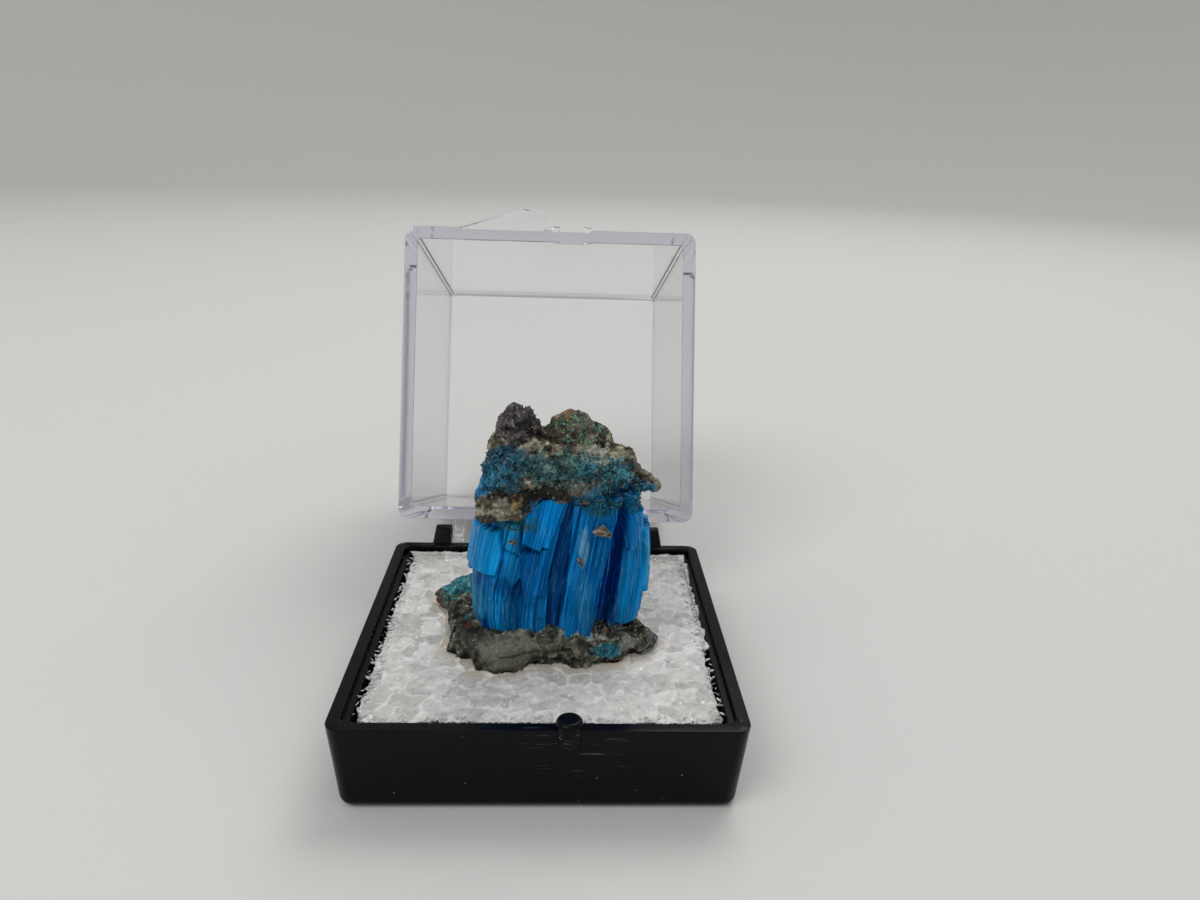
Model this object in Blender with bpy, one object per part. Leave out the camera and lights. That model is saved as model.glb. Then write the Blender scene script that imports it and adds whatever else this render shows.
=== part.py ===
"""A chalcanthite specimen in a small hinged display box.

Metres, +Z up. The origin is the centre of the tray's underside, +X is to the right
and -Y is the front, where the tray has its catch peg. The lid stands open.
"""

import math

import bmesh
import bpy
from mathutils import Matrix, Vector, noise

MM = 0.001

# Tray: a square moulding with a rim, a sunk ledge inside it and a cavity for the foam.
TRAY_WIDTH = 32.0 * MM
TRAY_HEIGHT = 7.68 * MM
TRAY_DRAFT = 0.6 * MM
TRAY_CORNER = 1.1 * MM
FOOT_ROUND = 0.9 * MM
RIM_WIDTH = 1.0 * MM
LEDGE_DROP = 0.5 * MM
LEDGE_WIDTH = 0.6 * MM
TRAY_FLOOR = 1.0 * MM

# Catch peg on the tray's front wall, right of the middle.
PEG_X = 2.2 * MM
PEG_RADIUS = 1.03 * MM
PEG_Y = -15.45 * MM
PEG_BOTTOM = 5.9 * MM
PEG_TOP = 8.4 * MM

# Hinge: two bored knuckles behind the tray's back wall, which take the lid's stub pins.
HINGE_Y = 17.46 * MM
HINGE_Z = 8.15 * MM
KNUCKLE_X = 11.2 * MM
KNUCKLE_WIDTH = 1.65 * MM
KNUCKLE_RADIUS = 0.9 * MM
KNUCKLE_FLARE = 0.35 * MM
KNUCKLE_EDGE = 0.3 * MM
BORE_RADIUS = 0.5 * MM
PIN_RADIUS = 0.28 * MM
LUG_WIDTH = 1.0 * MM
SIDE_GAP = 0.5 * MM

# Lid: modelled shut, then turned back until its far edge meets the surface below. It lies a
# little to the left in the play of its hinge.
LID_DEPTH = 27.5 * MM
LID_WALL = 1.4 * MM
LID_ROOF = 1.2 * MM
LID_DRAFT = 0.6 * MM
LID_EDGE_ROUND = 0.4 * MM
RIM_GAP = 0.2 * MM
LID_CLEARANCE = 0.05 * MM
LID_SIDE_PLAY = -0.2 * MM
NOTCH_WIDTH = 2.66 * MM
NOTCH_HEIGHT = 0.9 * MM
PRONG_WIDTH = 0.9 * MM
PRONG_HEIGHT = 1.6 * MM
PRONG_PROUD = 0.4 * MM
THUMB_LEFT = -10.2 * MM
THUMB_PEAK = -3.1 * MM
THUMB_RIGHT = -0.7 * MM
THUMB_PROUD = 2.3 * MM
THUMB_THICK = 1.3 * MM

# Foam block: its top lies a little below the rim, and the rock is pressed into it.
FOAM_WIDTH = 28.2 * MM
FOAM_BOTTOM = TRAY_FLOOR + 0.3 * MM
FOAM_TOP = 7.0 * MM
FOAM_CELLS = 13
FOAM_BUMP = 0.16 * MM
POCKET_DEPTH = 0.8 * MM

# Specimen: the vein of crystals is held between two sloping faces of rock.
GAP = 0.3 * MM
ROCK_BOTTOM = FOAM_TOP - POCKET_DEPTH + GAP
LOWER_FACE_Z = 10.2 * MM
LOWER_FACE_SLOPE = 0.05
UPPER_FACE_Z = 20.4 * MM
UPPER_FACE_SLOPE = 0.12

# Lumps that the rocks are grown from, in millimetres: centre, then half sizes.
ROCK_GRAIN = 0.32 * MM
LOWER_LUMPS = [
    ((0.0, -1.0, 8.5), (7.4, 5.9, 2.6)),
    ((-3.6, -5.5, 7.9), (2.7, 2.3, 2.1)),
    ((-6.3, -3.5, 8.1), (2.0, 2.3, 2.1)),
    ((-7.2, 0.3, 8.0), (1.6, 2.8, 1.7)),
    ((-8.5, 4.5, 7.7), (1.9, 2.0, 1.5)),
    ((-7.1, 4.9, 7.9), (1.9, 2.1, 1.6)),
    ((0.3, -4.7, 8.0), (2.4, 1.8, 2.2)),
    ((2.8, -5.1, 8.3), (2.0, 1.9, 2.4)),
    ((5.4, -4.3, 8.3), (2.2, 1.9, 2.5)),
    ((7.7, -3.7, 8.3), (1.8, 1.5, 1.9)),
    ((9.1, -3.2, 7.7), (1.0, 0.9, 1.0)),
    ((6.1, -0.6, 8.6), (2.2, 3.4, 2.5)),
    ((-3.8, 3.2, 8.3), (3.2, 2.6, 2.2)),
    ((0.4, 3.2, 8.3), (4.4, 2.4, 2.4)),
    ((4.3, 2.5, 8.4), (3.0, 2.2, 2.5)),
]
UPPER_LUMPS = [
    ((-2.9, -1.9, 26.6), (1.4, 1.5, 1.8)),
    ((-1.4, -2.2, 26.6), (1.0, 1.2, 1.3)),
    ((1.9, -1.3, 25.6), (2.4, 2.3, 2.5)),
    ((3.7, -1.1, 24.9), (1.9, 2.4, 2.1)),
    ((5.9, -1.5, 23.3), (1.9, 2.6, 1.8)),
    ((7.7, -2.4, 22.2), (1.7, 1.7, 1.1)),
    ((8.9, -2.6, 21.7), (0.8, 0.9, 0.6)),
    ((-3.6, -2.1, 23.5), (1.6, 3.0, 2.6)),
    ((-4.4, -2.6, 20.9), (1.5, 2.7, 1.8)),
    ((-1.0, -1.4, 22.8), (3.8, 4.5, 3.3)),
    ((3.3, -1.4, 23.0), (4.0, 4.5, 2.7)),
    ((-4.1, -4.9, 20.4), (1.5, 1.3, 0.9)),
    ((-1.8, -5.5, 21.1), (1.6, 1.1, 0.9)),
    ((0.8, -5.5, 22.2), (1.7, 1.1, 0.9)),
    ((3.4, -5.3, 22.9), (1.7, 1.1, 0.9)),
    ((0.9, -4.4, 24.9), (1.9, 1.3, 1.1)),
    ((-2.4, -4.2, 24.2), (1.6, 1.3, 1.3)),
    ((-2.1, 1.9, 23.9), (2.2, 1.6, 2.1)),
    ((2.8, 2.0, 23.9), (2.5, 1.7, 1.8)),
    ((5.6, 0.8, 22.9), (1.5, 1.5, 1.1)),
]
LOWER_TRIANGLES = 2300
UPPER_TRIANGLES = 2400

# Footprint of the lower rock on the foam, in millimetres, from the lobe round by the front.
FOOTPRINT = [
    (-9.2, 7.0), (-10.8, 5.4), (-10.3, 3.2), (-9.3, 1.4), (-9.2, -1.0), (-8.7, -4.2),
    (-6.8, -6.4), (-4.9, -8.1), (-3.2, -8.4), (-1.6, -7.6), (0.6, -6.9), (2.9, -7.4),
    (5.6, -6.5), (8.0, -5.6), (9.9, -4.4), (10.4, -3.0), (9.3, -1.6), (8.7, 0.8),
    (7.6, 3.6), (4.6, 5.2), (0.4, 6.1), (-4.0, 6.3), (-6.6, 7.3),
]

# Vein of crystals: its sides swell in the middle, and its fibres lean to the right on
# their way up, most of all in the middle of its front.
VEIN_LEFT = -6.0 * MM
VEIN_RIGHT = 8.35 * MM
VEIN_FRONT = -5.5 * MM
VEIN_BACK = 4.0 * MM
VEIN_LEAN = 0.26
LEFT_SWELL = 0.6 * MM
RIGHT_SWELL = 0.85 * MM
LEFT_TAPER = 1.0 * MM
RIGHT_TAPER = 0.6 * MM
VEIN_FLUTES = 17
FLUTE_DEPTH = 0.42 * MM

# Slabs of grown-together fibres that stand out of the vein, in millimetres: x at foot, x at
# top, centre y, foot z, top z, half width, half depth. None for an end means that it reaches
# the rock, but for a step of its own that keeps the ends of two slabs off one plane.
SLAB_STEP = 0.03 * MM
SLABS = [
    (-5.1, -4.6, -4.5, 14.7, 18.9, 1.35, 1.4),
    (-0.5, 0.9, -5.5, 17.7, None, 1.35, 0.8),
    (-0.8, -0.5, -5.6, 13.3, 17.9, 1.1, 0.65),
    (2.8, 4.4, -5.2, None, None, 1.25, 1.1),
    (0.6, 1.1, -5.0, None, 16.2, 0.75, 0.9),
    (-3.6, -3.4, -5.2, None, 16.6, 1.0, 0.75),
    (6.6, 7.2, -3.6, None, None, 1.4, 1.7),
    (8.2, 8.6, -1.6, 13.4, 18.6, 0.7, 1.6),
    (-5.9, -5.8, 0.8, None, 18.6, 0.8, 2.0),
    (-1.8, -1.2, 3.9, None, 18.8, 2.4, 0.8),
    (4.2, 5.1, 3.8, None, 19.4, 2.2, 0.9),
]

# Matrix chips stuck to the crystals' front: name, centre in millimetres, half sizes, turn.
CHIPS = [
    ("chip_right", (4.55, -7.02, 19.7), (0.85, 0.42, 0.62), 0.4),
    ("chip_middle", (2.85, -6.86, 16.9), (0.42, 0.3, 0.34), 1.1),
    ("chip_left", (-2.6, -6.4, 18.3), (0.42, 0.3, 0.24), 2.0),
]


def clear_scene():
    for old in list(bpy.data.objects):
        bpy.data.objects.remove(old, do_unlink=True)


def material(name, colour, roughness, metallic=0.0):
    made = bpy.data.materials.new(name)
    made.use_nodes = True
    shader = made.node_tree.nodes["Principled BSDF"]
    shader.inputs["Base Color"].default_value = (*colour, 1.0)
    shader.inputs["Roughness"].default_value = roughness
    shader.inputs["Metallic"].default_value = metallic
    made.diffuse_color = (*colour, 1.0)
    return made


def add_object(name, shape, paint=None):
    """Turn a bmesh into a named object with its faces pointing out."""
    bmesh.ops.recalc_face_normals(shape, faces=shape.faces)
    mesh = bpy.data.meshes.new(name)
    shape.to_mesh(mesh)
    shape.free()
    made = bpy.data.objects.new(name, mesh)
    bpy.context.scene.collection.objects.link(made)
    if paint is not None:
        mesh.materials.append(paint)
    return made


def combine(target, tool, operation):
    """Add or cut a helper solid, which stays as a hidden wire object."""
    step = target.modifiers.new(tool.name, "BOOLEAN")
    step.operation = operation
    step.solver = "EXACT"
    step.object = tool
    tool.hide_render = True
    tool.display_type = "WIRE"


def loft(loops):
    """Skin a list of equally long closed loops of points, with a cap on each end."""
    shape = bmesh.new()
    rings = [[shape.verts.new(point) for point in loop] for loop in loops]
    for lower, upper in zip(rings, rings[1:]):
        for i in range(len(lower)):
            j = (i + 1) % len(lower)
            shape.faces.new((lower[i], lower[j], upper[j], upper[i]))
    shape.faces.new(list(reversed(rings[0])))
    shape.faces.new(rings[-1])
    return shape


def rounded_square(half, radius, z, corner_points=4):
    """Loop of a square with round corners, at height z."""
    loop = []
    for quarter in range(4):
        turn = quarter * math.pi / 2
        centre = Matrix.Rotation(turn, 3, "Z") @ Vector((half - radius, half - radius, z))
        for step in range(corner_points + 1):
            angle = turn + step / corner_points * math.pi / 2
            loop.append(centre + radius * Vector((math.cos(angle), math.sin(angle), 0.0)))
    return loop


def box(name, low, high):
    shape = bmesh.new()
    bmesh.ops.create_cube(shape, size=1.0)
    size = Vector(high) - Vector(low)
    middle = (Vector(high) + Vector(low)) / 2
    bmesh.ops.transform(shape, matrix=Matrix.LocRotScale(middle, None, size), verts=shape.verts)
    return add_object(name, shape)


def rod_along_x(name, x_from, x_to, y, z, radius, sides=16):
    loops = []
    for x in (x_from, x_to):
        angles = [2 * math.pi * i / sides for i in range(sides)]
        loops.append([(x, y + radius * math.cos(a), z + radius * math.sin(a)) for a in angles])
    return add_object(name, loft(loops))


def hull(name, points):
    shape = bmesh.new()
    for point in points:
        shape.verts.new(point)
    found = bmesh.ops.convex_hull(shape, input=shape.verts)
    loose = [e for e in found["geom_interior"] if isinstance(e, bmesh.types.BMVert)]
    bmesh.ops.delete(shape, geom=loose, context="VERTS")
    return add_object(name, shape)


def disc_points(x, y, z, radius, sides=16):
    angles = [2 * math.pi * i / sides for i in range(sides)]
    return [Vector((x, y + radius * math.cos(a), z + radius * math.sin(a))) for a in angles]


def lower_face(x):
    """Height of the rock face that the crystals stand on."""
    return LOWER_FACE_Z + LOWER_FACE_SLOPE * x


def upper_face(x):
    """Height of the rock face above the crystals."""
    return UPPER_FACE_Z + UPPER_FACE_SLOPE * x


def signed_power(value, power):
    return math.copysign(abs(value) ** power, value)


def rock_relief(point, seed):
    """Broken-rock relief in millimetres: broad swells with sharp steps across them."""
    place = point / MM + Vector((seed, 2.3 * seed, 0.7 * seed))
    broad = noise.noise(place * 0.32)
    steps = noise.voronoi(place * 0.5)[0]
    fine = noise.voronoi(place * 1.05)[0]
    return 0.4 * broad + 0.5 * (steps[1] - steps[0]) + 0.35 * (fine[1] - fine[0]) - 0.32


def evaluated_shape(made):
    """Bmesh of an object with its modifiers worked in, after which the object is removed."""
    graph = bpy.context.evaluated_depsgraph_get()
    mesh = bpy.data.meshes.new_from_object(made.evaluated_get(graph))
    shape = bmesh.new()
    shape.from_mesh(mesh)
    bpy.data.meshes.remove(mesh)
    bpy.data.objects.remove(made, do_unlink=True)
    return shape


def cut_flat(shape, height, slope, normal_z):
    """Cut off everything past a face that slopes along X, and close the cut."""
    normal = Vector((-slope, 0.0, 1.0)) * normal_z
    whole = shape.verts[:] + shape.edges[:] + shape.faces[:]
    bmesh.ops.bisect_plane(shape, geom=whole, plane_co=(0.0, 0.0, height), plane_no=normal,
                           clear_outer=True, dist=1e-7)
    open_edges = [edge for edge in shape.edges if edge.is_boundary]
    bmesh.ops.holes_fill(shape, edges=open_edges, sides=0)


def keep_largest(shape):
    """Drop the crumbs that a cut leaves beside the main body."""
    bodies = []
    left = set(shape.verts)
    while left:
        body = set()
        front = [left.pop()]
        while front:
            vert = front.pop()
            body.add(vert)
            near = {edge.other_vert(vert) for edge in vert.link_edges} & left
            left -= near
            front.extend(near)
        bodies.append(body)
    bodies.sort(key=len)
    for body in bodies[:-1]:
        bmesh.ops.delete(shape, geom=list(body), context="VERTS")


def rock(name, lumps, seed, triangles, cuts, paint):
    """Lumps fused into one body, broken up by relief, thinned out and cut flat."""
    shape = bmesh.new()
    for centre, halves in lumps:
        place = Matrix.LocRotScale(Vector(centre) * MM, None, Vector(halves) * MM)
        bmesh.ops.create_icosphere(shape, subdivisions=3, radius=1.0, matrix=place)
    fused = add_object(name + "_fused", shape)
    remesh = fused.modifiers.new("fuse", "REMESH")
    remesh.mode = "VOXEL"
    remesh.voxel_size = ROCK_GRAIN
    shape = evaluated_shape(fused)
    shape.normal_update()
    moves = [vert.normal * rock_relief(vert.co, seed) * MM for vert in shape.verts]
    for vert, move in zip(shape.verts, moves):
        vert.co += move
    bmesh.ops.triangulate(shape, faces=shape.faces)
    share = triangles / len(shape.faces)
    rough = add_object(name + "_rough", shape)
    thin = rough.modifiers.new("thin", "DECIMATE")
    thin.ratio = min(1.0, share)
    shape = evaluated_shape(rough)
    for height, slope, normal_z in cuts:
        cut_flat(shape, height, slope, normal_z)
    keep_largest(shape)
    return add_object(name, shape, paint)


def tray(paint):
    half = TRAY_WIDTH / 2
    foot = half - TRAY_DRAFT
    inner = half - RIM_WIDTH
    cavity = inner - LEDGE_WIDTH
    ledge = TRAY_HEIGHT - LEDGE_DROP
    loops = []
    for step in range(4):
        angle = math.pi / 2 * step / 3
        inset = FOOT_ROUND * (1 - math.sin(angle))
        height = FOOT_ROUND * (1 - math.cos(angle))
        loops.append(rounded_square(foot - inset, TRAY_CORNER - 0.4 * inset, height))
    loops.append(rounded_square(half, TRAY_CORNER, TRAY_HEIGHT - 0.1 * MM))
    loops.append(rounded_square(half - 0.1 * MM, TRAY_CORNER, TRAY_HEIGHT))
    loops.append(rounded_square(inner, 0.8 * MM, TRAY_HEIGHT))
    loops.append(rounded_square(inner, 0.8 * MM, ledge))
    loops.append(rounded_square(cavity, 0.6 * MM, ledge))
    loops.append(rounded_square(cavity, 0.6 * MM, TRAY_FLOOR))
    body = add_object("base_tray", loft(loops), paint)
    combine(body, catch_peg(), "UNION")
    for side in (-1, 1):
        combine(body, knuckle(side), "UNION")
    for side in (-1, 1):
        ends = sorted((side * (KNUCKLE_X - KNUCKLE_WIDTH), side * (KNUCKLE_X + KNUCKLE_WIDTH)))
        bore = rod_along_x(f"cut_bore_{side}", *ends, HINGE_Y, HINGE_Z, BORE_RADIUS)
        combine(body, bore, "DIFFERENCE")
    return body


def catch_peg():
    """Short post with a rounded top and foot, half sunk in the front wall."""
    profile = [(0.35, 0.0), (0.8, 0.12), (1.0, 0.45), (1.0, 2.15), (0.92, 2.4), (0.7, 2.5)]
    loops = []
    for share, rise in profile:
        radius = share * PEG_RADIUS
        z = PEG_BOTTOM + rise / 2.5 * (PEG_TOP - PEG_BOTTOM)
        angles = [2 * math.pi * i / 16 for i in range(16)]
        loops.append([(PEG_X + radius * math.cos(a), PEG_Y + radius * math.sin(a), z)
                      for a in angles])
    return add_object("add_peg", loft(loops))


def knuckle(side):
    """Round hinge ear on a foot that widens outwards along the back wall."""
    inner_x = side * (KNUCKLE_X - KNUCKLE_WIDTH / 2)
    outer_x = side * (KNUCKLE_X + KNUCKLE_WIDTH / 2)
    wall_y = TRAY_WIDTH / 2 - 0.5 * MM
    points = []
    for x, inward in ((inner_x, side * KNUCKLE_EDGE), (outer_x, -side * KNUCKLE_EDGE)):
        points += disc_points(x, HINGE_Y, HINGE_Z, KNUCKLE_RADIUS - KNUCKLE_EDGE)
        points += disc_points(x + inward, HINGE_Y, HINGE_Z, KNUCKLE_RADIUS)
    for z in (5.0 * MM, 6.9 * MM):
        points.append(Vector((inner_x, wall_y, z)))
        points.append(Vector((outer_x + side * KNUCKLE_FLARE, wall_y, z)))
    return hull(f"add_knuckle_{side}", points)


def lid_open_angle():
    """Turn at which the lid's far back edge comes down to the surface under the tray."""
    back = TRAY_WIDTH / 2 - LID_DRAFT - HINGE_Y
    up = TRAY_HEIGHT + RIM_GAP + LID_DEPTH - HINGE_Z
    reach = math.hypot(back, up)
    lead = math.atan2(-back, up)
    return lead + math.acos(-(HINGE_Z - LID_CLEARANCE) / reach)


def lid(paint):
    """Open box with thin walls, its rim downwards when shut, made around the hinge axis."""
    half = TRAY_WIDTH / 2
    rim = TRAY_HEIGHT + RIM_GAP
    roof = rim + LID_DEPTH
    top = half - LID_DRAFT
    loops = [
        rounded_square(top - LID_WALL, 0.4 * MM, roof - LID_ROOF),
        rounded_square(half - LID_WALL, 0.5 * MM, rim),
        rounded_square(half, TRAY_CORNER, rim),
        rounded_square(top, TRAY_CORNER, roof - LID_EDGE_ROUND),
        rounded_square(top - 0.3 * LID_EDGE_ROUND, TRAY_CORNER, roof - 0.3 * LID_EDGE_ROUND),
        rounded_square(top - LID_EDGE_ROUND, TRAY_CORNER - LID_EDGE_ROUND, roof),
    ]
    body = add_object("lid", loft(loops), paint)
    front = -half
    tools = []
    for side in (-1, 1):
        tools.append((lug(side), "UNION"))
        tools.append((stub_pin(side), "UNION"))
        middle = PEG_X + side * (NOTCH_WIDTH + PRONG_WIDTH) / 2
        prong = box(f"add_prong_{side}",
                    (middle - PRONG_WIDTH / 2, front - PRONG_PROUD, rim),
                    (middle + PRONG_WIDTH / 2, front + 0.5 * MM, rim + PRONG_HEIGHT))
        tools.append((prong, "UNION"))
    tools.append((thumb_lift(front, rim), "UNION"))
    notch = box("cut_notch", (PEG_X - NOTCH_WIDTH / 2, front - 2 * MM, rim - 1 * MM),
                (PEG_X + NOTCH_WIDTH / 2, front + 2 * MM, rim + NOTCH_HEIGHT))
    tools.append((notch, "DIFFERENCE"))
    axis = Vector((0.0, HINGE_Y, HINGE_Z))
    body.data.transform(Matrix.Translation(-axis))
    body.location = axis + Vector((LID_SIDE_PLAY, 0.0, 0.0))
    for tool, operation in tools:
        tool.data.transform(Matrix.Translation(-axis))
        tool.parent = body
        combine(body, tool, operation)
    body.rotation_euler.x = -lid_open_angle()
    return body


def lug(side):
    """Round ear on the lid's back wall, just inside the tray's knuckle."""
    outer_x = side * (KNUCKLE_X - KNUCKLE_WIDTH / 2 - SIDE_GAP)
    inner_x = outer_x - side * LUG_WIDTH
    points = []
    for x in (inner_x, outer_x):
        points += disc_points(x, HINGE_Y, HINGE_Z, KNUCKLE_RADIUS)
        for z in (TRAY_HEIGHT + RIM_GAP + 0.1 * MM, TRAY_HEIGHT + 2.2 * MM):
            points.append(Vector((x, TRAY_WIDTH / 2 - 0.5 * MM, z)))
    return hull(f"add_lug_{side}", points)


def stub_pin(side):
    start = side * (KNUCKLE_X - KNUCKLE_WIDTH / 2 - SIDE_GAP - 0.4 * MM)
    end = side * (KNUCKLE_X + KNUCKLE_WIDTH / 2 - 0.3 * MM)
    return rod_along_x(f"add_pin_{side}", *sorted((start, end)), HINGE_Y, HINGE_Z, PIN_RADIUS, 12)


def thumb_lift(front, rim):
    """Low wedge on the outside of the lid's front wall, beside the catch notch."""
    outline = [(THUMB_LEFT, 0.0), (THUMB_PEAK, THUMB_PROUD), (THUMB_RIGHT, 0.85 * THUMB_PROUD)]
    outline += [(THUMB_RIGHT, -0.4 * MM), (THUMB_LEFT, -0.4 * MM)]
    loops = []
    for z in (rim, rim + THUMB_THICK):
        loops.append([(x, front - proud, z) for x, proud in outline])
    return add_object("add_thumb", loft(loops))


def foam(paint):
    """Block with a bumpy top, and a pocket that the rock is pressed into."""
    shape = bmesh.new()
    half = FOAM_WIDTH / 2
    count = FOAM_CELLS
    top = []
    for row in range(count + 1):
        for column in range(count + 1):
            x = -half + FOAM_WIDTH * column / count
            y = -half + FOAM_WIDTH * row / count
            bump = noise.noise(Vector((x, y, 0.0)) / (2.1 * MM))
            inside = 0 < row < count and 0 < column < count
            slip = noise.noise_vector(Vector((x, y, 3.0 * MM)) / (1.7 * MM)) * 0.45 * MM
            spot = Vector((x, y, FOAM_TOP + FOAM_BUMP * bump - (0.0 if inside else 0.3 * MM)))
            if inside:
                spot += Vector((slip.x, slip.y, 0.0))
            top.append(shape.verts.new(spot))
    for row in range(count):
        for column in range(count):
            a = row * (count + 1) + column
            shape.faces.new((top[a], top[a + 1], top[a + count + 2], top[a + count + 1]))
    rim_edges = [edge for edge in shape.edges if edge.is_boundary]
    skirt = bmesh.ops.extrude_edge_only(shape, edges=rim_edges)["geom"]
    lowered = [item for item in skirt if isinstance(item, bmesh.types.BMVert)]
    for vert in lowered:
        vert.co.z = FOAM_BOTTOM
    bottom_edges = [edge for edge in shape.edges if edge.is_boundary]
    bmesh.ops.contextual_create(shape, geom=bottom_edges)
    block = add_object("foam_insert", shape, paint)
    combine(block, pocket(), "DIFFERENCE")
    return block


def pocket():
    """Upright cutter around the lower rock's footprint."""
    loops = []
    for z in (FOAM_TOP - POCKET_DEPTH, FOAM_TOP + 3 * MM):
        loops.append([(x * MM, y * MM, z) for x, y in FOOTPRINT])
    return add_object("cut_pocket", loft(loops))


def vein_point(angle, share):
    """Point on the vein's side, at an angle around it and a share of its height."""
    across = signed_power(math.cos(angle), 0.55)
    along = signed_power(math.sin(angle), 0.55)
    left = VEIN_LEFT - LEFT_SWELL * math.sin(math.pi * share ** 0.7) + LEFT_TAPER * share
    right = VEIN_RIGHT + RIGHT_SWELL * math.sin(math.pi * share) - RIGHT_TAPER * share
    leaning = across + VEIN_LEAN * share ** 1.7 * (1.0 - across * across)
    x = (left + right) / 2 + (right - left) / 2 * leaning
    y = (VEIN_FRONT + VEIN_BACK) / 2 + (VEIN_BACK - VEIN_FRONT) / 2 * along
    flute = FLUTE_DEPTH * (abs(math.sin(angle * VEIN_FLUTES / 2 + 0.6)) - 0.6)
    flute *= 0.6 + 0.6 * noise.noise(Vector((3.0 * math.cos(angle), 3.0 * math.sin(angle), 4.0)))
    x += flute * math.cos(angle)
    y += flute * math.sin(angle)
    low = lower_face(x) + GAP / 2
    high = upper_face(x) - GAP / 2
    return Vector((x, y, low + (high - low) * share))


def slab(index, paint):
    """Flat-faced bundle of fibres: a chamfered block that bends to the right going up."""
    x_foot, x_top, y, z_foot, z_top, half_x, half_y = SLABS[index]
    outline = [(-1.0, 0.55), (-0.7, -0.75), (-0.1, -1.0), (0.55, -0.8), (1.0, -0.1), (0.8, 0.9)]
    rows = 5
    inset = GAP / 2 + SLAB_STEP * (index + 2)
    loops = []
    for row in range(rows):
        share = row / (rows - 1)
        loop = []
        for u, v in outline:
            x = (x_foot + (x_top - x_foot) * share ** 1.5 + half_x * u) * MM
            depth = (y + half_y * v) * MM
            low = lower_face(x) + inset if z_foot is None else (z_foot + 0.5 * u) * MM
            high = upper_face(x) - inset if z_top is None else (z_top - 0.35 * u) * MM
            loop.append((x, depth, low + (high - low) * share))
        loops.append(loop)
    return add_object(f"add_slab_{index}", loft(loops), paint)


def crystals(paint):
    around = 52
    rows = 7
    loops = []
    for row in range(rows):
        share = row / (rows - 1)
        loops.append([vein_point(2 * math.pi * i / around, share) for i in range(around)])
    body = add_object("chalcanthite_crystals", loft(loops), paint)
    for index in range(len(SLABS)):
        combine(body, slab(index, paint), "UNION")
    return body


def chip(name, centre, halves, turn, paint):
    """Angular grain of rock."""
    shape = bmesh.new()
    bmesh.ops.create_icosphere(shape, subdivisions=1, radius=1.0)
    for vert in shape.verts:
        rough = 1.0 + 0.25 * noise.noise(vert.co * 1.7 + Vector((turn, 0.0, 0.0)))
        vert.co = Vector([c * h * rough for c, h in zip(vert.co, halves)]) * MM
    made = add_object(name, shape, paint)
    made.location = Vector(centre) * MM
    made.rotation_euler.y = turn
    return made


def main():
    clear_scene()
    black = material("black polystyrene", (0.012, 0.012, 0.014), 0.22)
    clear = material("clear polystyrene", (0.82, 0.84, 0.86), 0.08)
    white = material("expanded polystyrene", (0.86, 0.87, 0.88), 0.7)
    grey_rock = material("grey matrix rock", (0.16, 0.15, 0.12), 0.85)
    brown_rock = material("brown matrix rock", (0.12, 0.085, 0.06), 0.85)
    blue = material("chalcanthite", (0.01, 0.22, 0.62), 0.25)
    tray(black)
    lid(clear)
    foam(white)
    underside = (ROCK_BOTTOM, 0.0, -1.0)
    seat = (LOWER_FACE_Z - GAP / 2, LOWER_FACE_SLOPE, 1.0)
    ceiling = (UPPER_FACE_Z + GAP / 2, UPPER_FACE_SLOPE, -1.0)
    rock("lower_matrix", LOWER_LUMPS, 3.1, LOWER_TRIANGLES, [underside, seat], grey_rock)
    rock("upper_matrix", UPPER_LUMPS, 7.7, UPPER_TRIANGLES, [ceiling], brown_rock)
    crystals(blue)
    for name, centre, halves, turn in CHIPS:
        chip(name, centre, halves, turn, brown_rock)


main()
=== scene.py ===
import math
import random
import bmesh
import bpy
from mathutils import Matrix, Vector, noise
from mathutils.bvhtree import BVHTree


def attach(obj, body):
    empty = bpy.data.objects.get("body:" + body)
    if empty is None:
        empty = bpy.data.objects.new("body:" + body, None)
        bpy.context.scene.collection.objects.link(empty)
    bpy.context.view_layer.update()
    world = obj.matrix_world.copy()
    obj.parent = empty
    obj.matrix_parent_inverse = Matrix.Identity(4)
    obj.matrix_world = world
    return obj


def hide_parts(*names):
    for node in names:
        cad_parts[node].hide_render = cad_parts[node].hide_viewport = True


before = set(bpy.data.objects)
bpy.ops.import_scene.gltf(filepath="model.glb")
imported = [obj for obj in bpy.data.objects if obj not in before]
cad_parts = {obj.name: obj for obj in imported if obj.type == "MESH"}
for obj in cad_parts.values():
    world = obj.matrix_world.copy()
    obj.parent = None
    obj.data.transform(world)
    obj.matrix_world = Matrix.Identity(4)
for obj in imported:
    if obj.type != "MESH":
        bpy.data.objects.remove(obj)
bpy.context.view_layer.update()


# The table and the light. The box stands on a pale matt sheet that curves up far behind it, like
# the inside of a white light tent, under two broad soft lamps.
MM = 0.001
TABLE_RADIUS = 720.0
SWEEP_RADIUS = 300.0
SWEEP_STEPS = 12
WALL_TOP = 550.0
SHEET_SIDES = 96
AIR_LIGHT = 0.48
LAMP_SIZE = 0.4
LAMPS = (("front lamp", (-0.30, -0.33, 0.54), 1.4), ("back lamp", (0.18, 0.34, 0.60), 1.55))
EYE_PLACE = (1.046, -71.526, 49.606)
EYE_YAW, EYE_PITCH, EYE_ROLL = -2.782, -19.548, 1.975
LENS = 26.838
SENSOR = 36.0
LIGHT_TURNS = 24


def linear(hex_colour):
    """An sRGB hex value as the linear colour that a shader takes."""
    channels = [int(hex_colour[i:i + 2], 16) / 255 for i in (1, 3, 5)]
    return (*[c / 12.92 if c <= 0.04045 else ((c + 0.055) / 1.055) ** 2.4 for c in channels], 1.0)


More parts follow.
